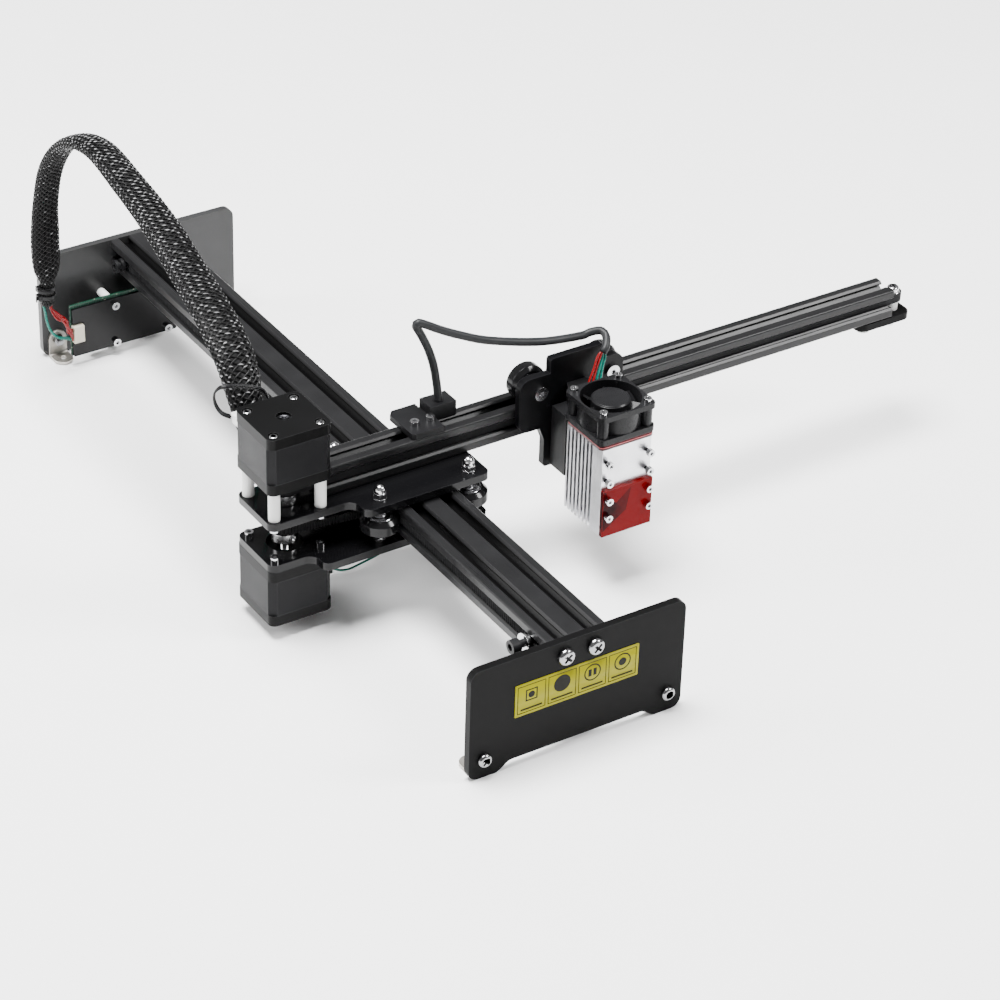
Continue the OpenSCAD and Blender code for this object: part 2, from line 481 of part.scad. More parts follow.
// dovetail guide for the laser height
module height_guide() color("#202022") at_head() difference() {
  translate([0, 0, 59]) linear_extrude(55) polygon([[-6.5, -16], [6.5, -16], [9.5, -22], [-9.5, -22]]);
  translate([0, -15, xwz2]) rotate([90, 0, 0]) cylinder(d = 10.2, h = 9);
  for (z = [63, 102]) translate([0, -15, z]) rotate([90, 0, 0]) { cylinder(d = 3.3, h = 9); translate([0, 0, 3.8]) cylinder(d = 6.2, h = 9); }
  for (x = [-7.5, 7.5]) translate([x, -15, arm_cz]) rotate([90, 0, 0]) cylinder(d = 5, h = 4);
}
module x_axle(h) {                  // axle along -Y from the plate, head in front
  rotate([90, 0, 0]) difference() {
    union() { translate([0, 0, 16 - (h ? 2 : 0)]) cylinder(d = h ? 9.4 : 9, h = h ? 3 : 2.2); translate([0, 0, -10.5]) cylinder(d = 5, h = 27); }
    translate([0, 0, 16.6]) cylinder(d = 3.4, h = 4, $fn = 6);
  }
  translate([0, -10.95, 0]) rotate([-90, 0, 0]) tube(2.55, 4, 0, 5.4);
  translate([0, -5.5, 0]) rotate([-90, 0, 0]) { bearing(0); bearing(6); }
  translate([0, 5.55, 0]) rotate([-90, 0, 0]) hex_nut(8, 4.6, 5.02);
}
module x_axle_parts() color("#c9c9cc") at_head() {
  for (x = [-xw, xw]) translate([x, 0, xwz]) x_axle(false);
  translate([0, 0, xwz2]) x_axle(true);
  for (z = [63, 102]) translate([0, -18.82, z]) rotate([90, 0, 0]) cap_screw(5.5, 2.4, 3, 8.4);
  for (x = [-7.5, 7.5]) translate([x, -16.02, arm_cz]) rotate([90, 0, 0]) cap_screw(4.4, 1.8, 2.5, 7);
}
module x_wheel(x, z) color("#232325") at_head() translate([x, 0, z]) rotate([90, 0, 0]) v_wheel();
// ---------- grey cable: clamp to the head ----------
cable_route = [[30.5, -66.5, 104], [30.5, -66.5, 113.4], [28.8, -66.8, 126.2], [26, -67.4, 139.4], [21.6, -68, 152],
  [15.7, -69, 164.1], [12.2, -70, 170.2], [12.9, -70.6, 172.9], [17.5, -71.3, 170.8], [28, -72.5, 164.5],
  [41.2, -74, 157.7], [60.4, -76, 149.5], [94, -78.4, 140], [121.5, -80.7, 137], [128.5, -81.5, 138],
  [134.8, -84, 138.6], [135.2, -89, 137.2], [132, -94, 134], [128.5, -96, 131]];
module laser_cable() color("#4a4a4e") {
  sweep(cable_route, 2.6, 2.6, up = [0.1, 1, 0.1]);
  sweep([[126.8, -97, 129.6], [124.6, -97.8, 124], [122, -99, 117], [119.5, -100.5, 110], [117.5, -102.5, 105.6]], 1.7, 1.7, up = [0.1, 1, 0.1]);
}
// ---------- laser ----------
module at_laser() at_head() children();
module slide_block() color("#1e1e20") at_head() difference() {
  translate([-18.3, ly1, 61]) cube([36.6, 15.9, lz + sink_h + 2.8 - 61]);
  translate([0, 0, 57]) linear_extrude(54) polygon([[-7.45, -17.5], [7.45, -17.5], [9.85, -22.3], [-9.85, -22.3]]);
  for (z = [70, 94]) translate([0, -21, z]) rotate([90, 0, 0]) { cylinder(d = 3.3, h = 14); cylinder(d = 6.2, h = 6); }
  translate([9, -21.3, 84]) rotate([0, 90, 0]) cylinder(d = 3.1, h = 12);
}
module lock_knob() color("#19191b") at_head() translate([18.8, -21.3, 84]) rotate([0, 90, 0]) {
  difference() { cylinder(d = 9, h = 7); for (i = [0:9]) rotate(i * 36) translate([4.9, 0, -1]) cylinder(d = 1.5, h = 9, $fn = 16); }
  translate([0, 0, -6.6]) cylinder(d = 3, h = 6.6 + e);
}
module heatsink() color("#dfe0e3") at_laser() translate([0, 0, lz]) difference() {
  linear_extrude(sink_h) difference() {
    rr(-sink_w / 2, ly0, sink_w / 2, ly1, 0.6);
    for (i = [0:sink_grooves - 1], s = [-1, 1]) translate([s * sink_w / 2, ly1 - 2.9 - i * 4]) {
      translate([-5.2, -1.1]) square([10.4, 2.2]);
      translate([-5.2 * s, 0]) circle(1.1);
    }
  }
  translate([0, lyc, -1]) cylinder(d = 12.2, h = 40);
  for (x = [-14.5, 14.5], z = [14.1, 26.1, 38.4, 51]) translate([x, ly0 - 1, z]) rotate([-90, 0, 0]) cylinder(d = 2.6, h = 6.5);
  for (z = [70, 94]) translate([0, ly1 + 1, z - lz]) rotate([90, 0, 0]) cylinder(d = 3, h = 9.6);
  for (x = [-15.8, 15.8], y = [-15.8, 15.8]) translate([x, lyc + y, sink_h - 6.8]) cylinder(d = 2.6, h = 9);
}
module gasket_plate() color("#7d1d22") at_laser() translate([0, 0, lz + sink_h]) difference() {
  linear_extrude(3.2) difference() { rr(-19.1, lyc - 20, 19.1, lyc + 18, 3); translate([0, lyc]) circle(d = 30); }
  for (x = [-15.8, 15.8], y = [-15.8, 15.8]) translate([x, lyc + y, -1]) cylinder(d = 3.2, h = 6);
}
module red_shield() color("#c8102e") at_laser() difference() {
  translate([-sink_w / 2, ly0 - 3, lz + 0.1]) cube([sink_w, 3, 32.3]);
  for (x = [-14.5, 14.5], z = [14.1, 26.1]) translate([x, ly0 + 1, lz + z]) rotate([90, 0, 0]) cylinder(d = 2.8, h = 6);
}
fz = lz + sink_h + 3.2;             // underside of the fan
module laser_screws() color("#b7b8bb") at_laser() {
  for (x = [-14.5, 14.5], z = [14.1, 26.1, 38.4, 51]) translate([x, ly0 - (z > 30 ? 2.4 : 3), lz + z]) rotate([90, 0, 0]) cap_screw(4.8, 3, 2.5, 7.8);
  for (x = [-15.8, 15.8], y = [-15.8, 15.8]) translate([x, lyc + y, fz + 19.2]) cap_screw(5, 2.4, 2.5, 29);
  for (z = [70, 94]) translate([0, -27, z]) rotate([-90, 0, 0]) cap_screw(5.5, 3, 2.9, 14);
}
module diode_module() {
  color("#b08d3c") at_laser() translate([0, lyc, lz - 3]) rotate_extrude() polygon([[3, 0], [5, 0], [6, 1], [6, 36], [4.6, 36],
    [4.6, 9], [3, 9]]);
  color("#9fb8c4") at_laser() translate([0, lyc, lz + 6.02]) cylinder(r = 4.57, h = 2.5);
}
module fan_frame() color("#1d1d1f") at_laser() translate([0, lyc, fz]) difference() {
  union() {
    for (z = [0, 15.6]) translate([0, 0, z]) linear_extrude(3.6) difference() { rr(-20, -20, 20, 20, 3.4); circle(d = 37.4); }
    tube(18.7, 19.7, 1, 17);
    for (x = [-15.6, 15.6], y = [-15.6, 15.6]) translate([x, y, 1]) cylinder(d = 7, h = 17);
    cylinder(d = 23, h = 2);
    for (a = [45, 135, 225, 315]) rotate(a) translate([10, -1.2, 0]) cube([9.3, 2.4, 2]);
    cylinder(d = 7, h = 9);
  }
  for (x = [-15.8, 15.8], y = [-15.8, 15.8]) translate([x, y, -1]) cylinder(d = 3.2, h = 30);
  translate([0, 0, 0.8]) cylinder(d = 2.06, h = 20);
}
module fan_rotor() color("#2b2b2e") at_laser() translate([0, lyc, fz]) {
  difference() {
    union() {
      translate([0, 0, 3.2]) cylinder(d = 24, h = 14.6);
      translate([0, 0, 17.7]) cylinder(d1 = 24, d2 = 22, h = 1);
      intersection() {
        for (i = [0:fan_blades - 1]) rotate(i * 360 / fan_blades) translate([10, 0, 10]) rotate([38, 0, 0]) translate([0, -7.5, -0.6]) cube([10, 15, 1.2]);
        translate([0, 0, 3.6]) cylinder(d = 36.2, h = 13);
      }
    }
    translate([0, 0, 2]) cylinder(d = 20, h = 13);
  }
  translate([0, 0, 1]) cylinder(d = 2, h = 15);
}

base_rail();
front_plate();
rear_plate();
rail_end_screws();
foot_brackets();
foot_fasteners();
front_label();
control_board();
board_cover();
board_components();
board_standoffs();
board_screws();
board_wires();
cable_sleeve();
cable_ties();
y_belt();
y_belt_fixings();
top_plate();
bottom_plate();
arm_rail();
arm_fixings();
wheel_axles();
wheel_spacers();
wheel_bearings();
acorn_nuts();
motor_standoffs();
motor_fixings();
motor_bodies();
motor_caps();
motor_bearings();
motor_leads();
x_belt();
idler_bracket();
idler_fixings();
cable_clamp();
x_rotor();
x_pulley();
y_rotor();
y_pulley();
idler_pulley();
y_wheel(-wx, -wy);  // y_wheel_1
y_wheel(wx, -wy);  // y_wheel_2
y_wheel(-wx, wy);  // y_wheel_3
y_wheel(wx, wy);  // y_wheel_4
x_carriage_plate();
height_guide();
x_axle_parts();
x_wheel(-xw, xwz);  // x_wheel_1
x_wheel(xw, xwz);  // x_wheel_2
x_wheel(0, xwz2);  // x_wheel_3
laser_cable();
slide_block();
lock_knob();
heatsink();
gasket_plate();
red_shield();
laser_screws();
diode_module();
fan_frame();
fan_rotor();
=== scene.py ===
import math
import random

import bmesh
import bpy
import numpy as np
from mathutils import Matrix, Vector


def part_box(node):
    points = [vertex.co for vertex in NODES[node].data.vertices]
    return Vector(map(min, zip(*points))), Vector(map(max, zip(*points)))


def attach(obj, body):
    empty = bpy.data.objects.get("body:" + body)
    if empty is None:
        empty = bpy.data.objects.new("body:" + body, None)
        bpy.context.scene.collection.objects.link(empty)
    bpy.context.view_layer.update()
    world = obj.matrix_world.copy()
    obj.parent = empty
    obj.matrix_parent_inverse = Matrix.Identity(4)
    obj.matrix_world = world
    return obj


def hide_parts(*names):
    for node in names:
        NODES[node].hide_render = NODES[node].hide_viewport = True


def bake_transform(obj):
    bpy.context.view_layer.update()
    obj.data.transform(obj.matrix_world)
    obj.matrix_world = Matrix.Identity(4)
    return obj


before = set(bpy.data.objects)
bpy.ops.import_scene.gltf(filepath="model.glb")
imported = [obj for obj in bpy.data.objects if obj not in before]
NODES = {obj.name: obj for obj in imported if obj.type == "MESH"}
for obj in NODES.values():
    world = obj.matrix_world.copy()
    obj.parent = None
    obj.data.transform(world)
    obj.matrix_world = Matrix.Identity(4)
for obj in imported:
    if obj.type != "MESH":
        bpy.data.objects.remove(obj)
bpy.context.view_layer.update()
random.seed(7)
MM = 0.001


# ---------------------------------------------------------------- camera
def make_camera():
    a, e, r = math.radians(-33.51), math.radians(33.26), math.radians(1.84)
    f, dist = 3531.18, 2.02172
    back = Vector((math.sin(a) * math.cos(e), -math.cos(a) * math.cos(e), math.sin(e)))
    right = Vector((math.cos(a), math.sin(a), 0.0))
    up = back.cross(right)
    right2 = right * math.cos(r) + up * math.sin(r)
    up2 = up * math.cos(r) - right * math.sin(r)
    ox = (564.83 - 500.0) * dist / f
    oy = -(738.68 - 500.0) * dist / f
    loc = right2 * -ox + up2 * -oy + back * dist + Vector((0.0, -0.265, 0.0))
    data = bpy.data.cameras.new("camera")
    data.sensor_width = 36.0
    data.sensor_fit = "HORIZONTAL"
    data.lens = f / 1000.0 * 36.0
    data.shift_x = (500.0 - 506.16) / 1000.0
    data.shift_y = (499.81 - 500.0) / 1000.0
    data.clip_start = 0.05
    data.clip_end = 50.0
    ob = bpy.data.objects.new("camera", data)
    bpy.context.scene.collection.objects.link(ob)
    m = Matrix((
        (right2.x, up2.x, back.x, loc.x),
        (right2.y, up2.y, back.y, loc.y),
        (right2.z, up2.z, back.z, loc.z),
        (0, 0, 0, 1)))
    ob.matrix_world = m
    bpy.context.scene.camera = ob
    return ob


make_camera()


# ---------------------------------------------------------------- materials
class Mat:
    """A small helper that builds one procedural material on the Principled shader."""

    def __init__(self, name, metallic=0.0, rough=0.4, ior=1.5, coat=0.0, coat_rough=0.1, spec=0.5):
        self.m = bpy.data.materials.new(name)
        self.m.use_nodes = True
        self.t = self.m.node_tree
        self.b = self.t.nodes["Principled BSDF"]
        self.b.inputs["Metallic"].default_value = metallic
        self.b.inputs["Roughness"].default_value = rough
        self.b.inputs["IOR"].default_value = ior
        self.b.inputs["Specular IOR Level"].default_value = spec
        self.b.inputs["Coat Weight"].default_value = coat
        self.b.inputs["Coat Roughness"].default_value = coat_rough
        self.coord = self.t.nodes.new("ShaderNodeTexCoord")
        self.bump_in = None

    def scaled(self, scale):
        mp = self.t.nodes.new("ShaderNodeMapping")
        mp.inputs["Scale"].default_value = scale if hasattr(scale, "__len__") else (scale,) * 3
        self.t.links.new(self.coord.outputs["Object"], mp.inputs["Vector"])
        return mp.outputs["Vector"]

    def noise(self, scale, detail=4.0, rough=0.55, stretch=(1, 1, 1)):
        n = self.t.nodes.new("ShaderNodeTexNoise")
        n.inputs["Scale"].default_value = scale
        n.inputs["Detail"].default_value = detail
        n.inputs["Roughness"].default_value = rough
        self.t.links.new(self.scaled(stretch), n.inputs["Vector"])
        return n.outputs["Fac"]

    def wave(self, scale, axis="Z", distort=0.0, profile="SIN"):
        n = self.t.nodes.new("ShaderNodeTexWave")
        n.wave_type = "BANDS"
        n.bands_direction = axis
        n.wave_profile = profile
        n.inputs["Scale"].default_value = scale
        n.inputs["Distortion"].default_value = distort
        self.t.links.new(self.coord.outputs["Object"], n.inputs["Vector"])
        return n.outputs["Fac"]

    def voronoi(self, scale, stretch=(1, 1, 1), feature="F1", out="Distance"):
        n = self.t.nodes.new("ShaderNodeTexVoronoi")
        n.feature = feature
        n.inputs["Scale"].default_value = scale
        self.t.links.new(self.scaled(stretch), n.inputs["Vector"])
        return n.outputs[out]

    def ramp(self, fac, stops, interp="LINEAR"):
        r = self.t.nodes.new("ShaderNodeValToRGB")
        r.color_ramp.interpolation = interp
        el = r.color_ramp.elements
        while len(el) < len(stops):
            el.new(0.5)
        for e, (p, c) in zip(el, stops):
            e.position = p
            e.color = (*c, 1.0) if hasattr(c, "__len__") else (c, c, c, 1.0)
        self.t.links.new(fac, r.inputs["Fac"])
        return r.outputs["Color"]

    def span(self, fac, lo, hi, f0=0.0, f1=1.0):
        r = self.t.nodes.new("ShaderNodeMapRange")
        r.inputs["From Min"].default_value = f0
        r.inputs["From Max"].default_value = f1
        r.inputs["To Min"].default_value = lo
        r.inputs["To Max"].default_value = hi
        self.t.links.new(fac, r.inputs["Value"])
        return r.outputs["Result"]

    def math(self, op, a, b):
        n = self.t.nodes.new("ShaderNodeMath")
        n.operation = op
        for s, v in zip(n.inputs, (a, b)):
            if isinstance(v, (int, float)):
                s.default_value = v
            else:
                self.t.links.new(v, s)
        return n.outputs[0]

    def mix(self, fac, a, b):
        n = self.t.nodes.new("ShaderNodeMix")
        n.data_type = "RGBA"
        for s, v in ((n.inputs["Factor"], fac), (n.inputs[6], a), (n.inputs[7], b)):
            if isinstance(v, (int, float)):
                s.default_value = v
            elif isinstance(v, tuple):
                s.default_value = (*v, 1.0)
            else:
                self.t.links.new(v, s)
        return n.outputs[2]

    def axis(self, which):
        n = self.t.nodes.new("ShaderNodeSeparateXYZ")
        self.t.links.new(self.coord.outputs["Object"], n.inputs["Vector"])
        return n.outputs[which]

    def edges(self, width=0.0006):
        """0 on flat faces, rising towards sharp edges, from the shader's bevel normal."""
        bv = self.t.nodes.new("ShaderNodeBevel")
        bv.samples = 4
        bv.inputs["Radius"].default_value = width
        geo = self.t.nodes.new("ShaderNodeNewGeometry")
        dot = self.t.nodes.new("ShaderNodeVectorMath")
        dot.operation = "DOT_PRODUCT"
        self.t.links.new(bv.outputs["Normal"], dot.inputs[0])
        self.t.links.new(geo.outputs["Normal"], dot.inputs[1])
        return self.span(dot.outputs["Value"], 1.0, 0.0, 0.75, 0.99)

    def color(self, c):
        if isinstance(c, tuple):
            self.b.inputs["Base Color"].default_value = (*c, 1.0)
        else:
            self.t.links.new(c, self.b.inputs["Base Color"])
        return self

    def rough(self, s):
        self.t.links.new(s, self.b.inputs["Roughness"])
        return self

    def bump(self, height, strength, distance):
        n = self.t.nodes.new("ShaderNodeBump")
        n.inputs["Strength"].default_value = strength
        n.inputs["Distance"].default_value = distance
        self.t.links.new(height, n.inputs["Height"])
        if self.bump_in is not None:
            self.t.links.new(self.bump_in, n.inputs["Normal"])
        self.bump_in = n.outputs["Normal"]
        self.t.links.new(self.bump_in, self.b.inputs["Normal"])
        return self


def plastic(name, c, rough=0.4, grain=900, depth=0.00002, strength=0.25, vary=0.25, **k):
    m = Mat(name, 0.0, rough, **k)
    big = m.noise(35, 3)
    fine = m.noise(grain, 3)
    lo = tuple(x * (1 - vary) for x in c)
    hi = tuple(min(1.0, x * (1 + vary) + 0.002) for x in c)
    m.color(m.ramp(big, [(0.3, lo), (0.7, hi)]))
    m.rough(m.span(fine, rough * 0.8, rough * 1.25))
    m.bump(fine, strength, depth)
    return m


def metal(name, c, rough=0.25, streak=(1, 1, 1), scale=300, strength=0.15, depth=0.00002, vary=0.12, **k):
    m = Mat(name, 1.0, rough, **k)
    big = m.noise(60, 3)
    fine = m.noise(scale, 4, 0.6, streak)
    lo = tuple(x * (1 - vary) for x in c)
    hi = tuple(min(1.0, x * (1 + vary)) for x in c)
    m.color(m.ramp(big, [(0.3, lo), (0.7, hi)]))
    m.rough(m.span(fine, rough * 0.65, rough * 1.4))
    m.bump(fine, strength, depth)
    return m


def anodised(name, along, base=0.006, node=None):
    """Black anodised extrusion: fine lengthwise die lines, satin sheen, paler arrises (partly wear, partly painted edge
    highlight), slot interiors darkened with painted shade.
    """
    st = {"X": (0.02, 1, 1), "Y": (1, 0.02, 1), "Z": (1, 1, 0.02)}[along]
    m = Mat(name, 0.08, 0.32, ior=1.5, spec=0.22)
    lines = m.noise(2600, 3, 0.6, st)
    cloud = m.noise(28, 4)
    wear_and_edge_highlight = m.edges(0.0005)
    col = m.ramp(cloud, [(0.25, (base * 0.75, base * 0.75, base * 0.8)), (0.75, (base * 1.3, base * 1.3, base * 1.36))])
    # paler arrises: partly wear, partly painted edge highlight
    col = m.mix(wear_and_edge_highlight, col, (0.045, 0.045, 0.048))
    # painted shade: with a node given, everything away from the top and side skins (the slot interiors) gets a
    # near-black colour
    if node:
        lo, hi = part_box(node)
        w = 0 if along == "Y" else 1
        top = m.span(m.axis(2), 0.0, 1.0, hi.z - 0.0016, hi.z - 0.0004)
        far = m.span(m.axis(w), 0.0, 1.0, hi[w] - 0.0016, hi[w] - 0.0004)
        near = m.span(m.axis(w), 1.0, 0.0, lo[w] + 0.0004, lo[w] + 0.0016)
        skin = m.math("MAXIMUM", top, m.math("MAXIMUM", far, near))
        col = m.mix(skin, (0.0012, 0.0012, 0.0013), col)
    m.color(col)
    m.rough(m.math("ADD", m.span(lines, 0.22, 0.36), m.span(cloud, -0.03, 0.05)))
    m.bump(lines, 0.2, 0.00003)
    return m


def coated(name, c=0.02, rough=0.42, spec=0.1):
    """Powder coated sheet: orange-peel grain and slight dust, paler at the edges (partly wear, partly painted edge
    highlight).
    """
    m = Mat(name, 0.0, rough, ior=1.52, spec=spec)
    peel = m.noise(700, 2)
    cloud = m.noise(22, 4)
    dust = m.noise(2600, 2)
    wear_and_edge_highlight = m.edges(0.0006)
    col = m.ramp(cloud, [(0.25, (c * 0.8,) * 3), (0.75, (c * 1.25, c * 1.25, c * 1.3))])
    col = m.mix(m.ramp(dust, [(0.74, 0.0), (0.86, 0.25)]), col, (0.05, 0.05, 0.05))
    # paler edges: partly wear, partly painted edge highlight
    m.color(m.mix(wear_and_edge_highlight, col, (0.02, 0.02, 0.021)))
    m.rough(m.span(peel, rough * 0.85, rough * 1.15))
    m.bump(peel, 0.25, 0.00004)
    return m


def acrylic(name, c=(0.003, 0.003, 0.0034), rough=0.1, spec=0.2):
    """Polished sheet with faint smudges, dust and hairline scratches."""
    m = Mat(name, 0.0, rough, ior=1.49, spec=spec)
    smudge = m.noise(45, 5, 0.65)
    hair = m.noise(900, 2, 0.5, (0.03, 1, 1))
    hair2 = m.noise(900, 2, 0.5, (1, 0.03, 1))
    dust = m.noise(3500, 2)
    wear_and_edge_highlight = m.edges(0.0006)
    col = m.mix(m.ramp(dust, [(0.76, 0.0), (0.88, 0.2)]), c, (0.035, 0.035, 0.038))
    # paler edges: partly wear, partly painted edge highlight
    m.color(m.mix(wear_and_edge_highlight, col, (0.022, 0.022, 0.024)))
    m.rough(m.span(smudge, rough * 0.5, rough * 2.2))
    m.bump(m.math("ADD", hair, hair2), 0.05, 0.00002)
    return m


M = {}
M["rail_y"] = anodised("anodised_rail_y", "Y", 0.009, "base_rail")
M["rail_x"] = anodised("anodised_rail_x", "X", 0.008, "arm_rail")
M["guide"] = anodised("anodised_guide", "Z")
M["plate"] = coated("powder_coat_front", 0.003, 0.42, 0.05)
M["rear"] = coated("powder_coat_rear", 0.022, 0.3, 0.3)
M["acrylic"] = acrylic("black_acrylic")
M["carriage"] = acrylic("black_carriage_sheet", (0.0025, 0.0025, 0.003), 0.26, 0.1)
M["steel"] = metal("zinc_steel", (0.5, 0.5, 0.51), 0.2, scale=900)
M["screw"] = metal("plain_screw", (0.3, 0.3, 0.305), 0.16, scale=700, strength=0.08)
M["bright"] = metal("polished_steel", (0.6, 0.6, 0.61), 0.13, scale=700, strength=0.08)
M["dark_steel"] = metal("black_oxide", (0.03, 0.03, 0.033), 0.32, scale=900)
M["nickel"] = metal("nickel_plate", (0.46, 0.44, 0.405), 0.4, scale=350)
M["alu"] = metal("satin_aluminium", (0.66, 0.66, 0.68), 0.3, (1, 1, 0.03), 1500, 0.2, 0.00003)
M["alu_turned"] = metal("turned_aluminium", (0.7, 0.7, 0.71), 0.22, (1, 1, 12), 300, 0.2, 0.00003)
M["bearing"] = metal("bearing_steel", (0.5, 0.5, 0.52), 0.2, scale=600)
M["brass"] = metal("turned_brass", (0.72, 0.5, 0.22), 0.24, (1, 1, 12), 300, 0.2, 0.00003)
M["nylon"] = plastic("white_nylon", (0.7, 0.7, 0.685), 0.42, 500, vary=0.05)
M["nylon"].b.inputs["Subsurface Weight"].default_value = 0.15
M["nylon"].b.inputs["Subsurface Radius"].default_value = (0.002, 0.002, 0.002)
M["cream"] = plastic("cream_plastic", (0.6, 0.56, 0.45), 0.4, 700, vary=0.08)
M["green_lead"] = plastic("dark_green_insulation", (0.003, 0.085, 0.06), 0.24, 600, strength=0.1, vary=0.15)
M["black"] = plastic("moulded_black", (0.006, 0.006, 0.0066), 0.38, 1100, strength=0.35, spec=0.13)
M["fan"] = plastic("fan_black", (0.006, 0.006, 0.0066), 0.28, 1400, strength=0.2, spec=0.16)
M["wheel"] = plastic("wheel_black", (0.005, 0.005, 0.0055), 0.16, 600, strength=0.08, spec=0.22)
M["tie"] = plastic("tie_black", (0.006, 0.006, 0.0066), 0.33, 700, spec=0.2)
M["rubber"] = plastic("belt_rubber", (0.006, 0.006, 0.0066), 0.6, 1500, strength=0.4, spec=0.1)
M["jacket"] = plastic("cable_jacket", (0.012, 0.0125, 0.0135), 0.42, 900, strength=0.25, spec=0.18)
M["red_wire"] = plastic("red_insulation", (0.17, 0.0, 0.0012), 0.26, 600, strength=0.1, vary=0.2, spec=0.3)
M["teal_wire"] = plastic("teal_insulation", (0.001, 0.12, 0.09), 0.26, 600, strength=0.1, vary=0.2, spec=0.3)
M["black_wire"] = plastic("black_insulation", (0.006, 0.006, 0.0066), 0.25, 600, strength=0.1, spec=0.25)
M["gasket"] = None


def laminated():
    """Motor stack: thin sheet-steel layers under dark lacquer, so fine level lines."""
    m = Mat("laminated_stack", 0.06, 0.4, spec=0.1)
    layers = m.wave(3200, "Z", 0.0)
    cloud = m.noise(60, 4)
    wear_and_edge_highlight = m.edges(0.0008)
    col = m.ramp(layers, [(0.2, (0.002, 0.002, 0.0025)), (0.8, (0.0065, 0.0065, 0.0075))])
    # paler edges: partly wear, partly painted edge highlight
    m.color(m.mix(wear_and_edge_highlight, col, (0.035, 0.035, 0.038)))
    m.rough(m.span(cloud, 0.28, 0.46))
    m.bump(layers, 0.35, 0.00005)
    return m


M["stack"] = laminated()
M["cap"] = coated("motor_cap_paint", 0.003, 0.34, 0.07)


def red_sheet():
    """Deep red clear sheet: glossy skin over angular patches of darker and brighter red (painted light and shade seen
    through the sheet), with a painted brighter rim along the edges.
    """
    m = Mat("red_acrylic", 0.0, 0.06, ior=1.49, spec=0.06)
    smudge = m.noise(60, 4)
    cells = m.voronoi(62, (1.0, 1.0, 0.8), out="Color")
    cloud = m.noise(50, 3)
    rim = m.edges(0.0012)
    # angular cells: painted light and shade standing in for what shows through the clear sheet
    base = m.ramp(cells, [(0.3, (0.012, 0.0, 0.0006)), (0.42, (0.055, 0.0, 0.0004)), (0.6, (0.125, 0.0, 0.0008))])
    col = m.mix(m.ramp(cloud, [(0.35, 0.0), (0.7, 0.6)]), base, (0.11, 0.0, 0.0006))
    # rim: painted edge highlight, a brighter red along the edges
    m.color(m.mix(rim, col, (0.14, 0.0, 0.001)))
    m.rough(m.span(smudge, 0.04, 0.13))
    m.bump(m.noise(500, 3), 0.04, 0.00002)
    return m


M["red"] = red_sheet()


def gasket():
    """Dark red spacer plate with one brighter layer line round its edge."""
    m = Mat("gasket_red", 0.0, 0.3, spec=0.2)
    lo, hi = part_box("gasket_plate")
    z = m.span(m.axis(2), 0.0, 1.0, lo.z, hi.z)
    grain = m.noise(600, 3)
    m.color(m.ramp(z, [(0.0, (0.03, 0.003, 0.004)), (0.44, (0.07, 0.004, 0.006)), (0.47, (0.7, 0.16, 0.17)),
                       (0.53, (0.7, 0.16, 0.17)), (0.56, (0.06, 0.004, 0.006)), (1.0, (0.02, 0.003, 0.004))]))
    m.rough(m.span(grain, 0.22, 0.4))
    m.bump(grain, 0.15, 0.00002)
    return m


M["gasket"] = gasket()


def label():
    m = Mat("label_yellow", 0.0, 0.42, spec=0.12)
    print_noise = m.noise(500, 3)
    cloud = m.noise(30, 3)
    m.color(m.ramp(cloud, [(0.3, (0.215, 0.2, 0.0)), (0.7, (0.25, 0.235, 0.0004))]))
    m.rough(m.span(print_noise, 0.3, 0.45))
    m.bump(print_noise, 0.1, 0.00001)
    return m


M["label"] = label()
M["label_ink"] = plastic("label_ink", (0.006, 0.006, 0.004), 0.5, 800, spec=0.08)


def board():
    m = Mat("circuit_board", 0.0, 0.35)
    tracks = m.wave(260, "X", 2.5)
    spots = m.voronoi(420)
    base = m.ramp(tracks, [(0.35, (0.002, 0.022, 0.012)), (0.65, (0.004, 0.045, 0.024))])
    m.color(m.mix(m.ramp(spots, [(0.1, 1.0), (0.16, 0.0)]), base, (0.35, 0.33, 0.26)))
    m.rough(m.span(tracks, 0.25, 0.4))
    m.bump(tracks, 0.2, 0.00003)
    return m


M["board"] = board()
M["chip"] = plastic("chip_black", (0.014, 0.014, 0.015), 0.45, 900)


def lens_mat():
    m = Mat("lens_black", 0.0, 0.1, ior=1.6)
    ring = m.noise(800, 2)
    m.color(m.ramp(ring, [(0.3, (0.01, 0.01, 0.03)), (0.7, (0.03, 0.02, 0.05))]))
    m.rough(m.span(ring, 0.05, 0.14))
    m.bump(ring, 0.05, 0.00001)
    return m


M["lens"] = lens_mat()


def sleeve_strand(name, lo, hi, rough, spec):
    """Braided monofilament strand with a fine bump grain."""
    m = Mat(name, 0.0, rough, ior=1.5, spec=spec)
    glint = m.noise(420, 2, 0.5)
    fine = m.noise(2600, 2)
    m.color(m.ramp(glint, [(0.35, (lo,) * 3), (0.7, (hi, hi, hi * 1.02))]))
    m.rough(m.span(fine, rough * 0.7, rough * 1.4))
    m.bump(fine, 0.4, 0.00005)
    return m


M["strand"] = sleeve_strand("braid_strand", 0.003, 0.006, 0.36, 0.14)
# braid_glint: painted highlights, pale patches on the strands where they pass over
M["glint"] = sleeve_strand("braid_glint", 0.04, 0.28, 0.25, 0.35)
M["bundle"] = plastic("bundle_black", (0.003, 0.003, 0.0034), 0.45, 700, spec=0.12)


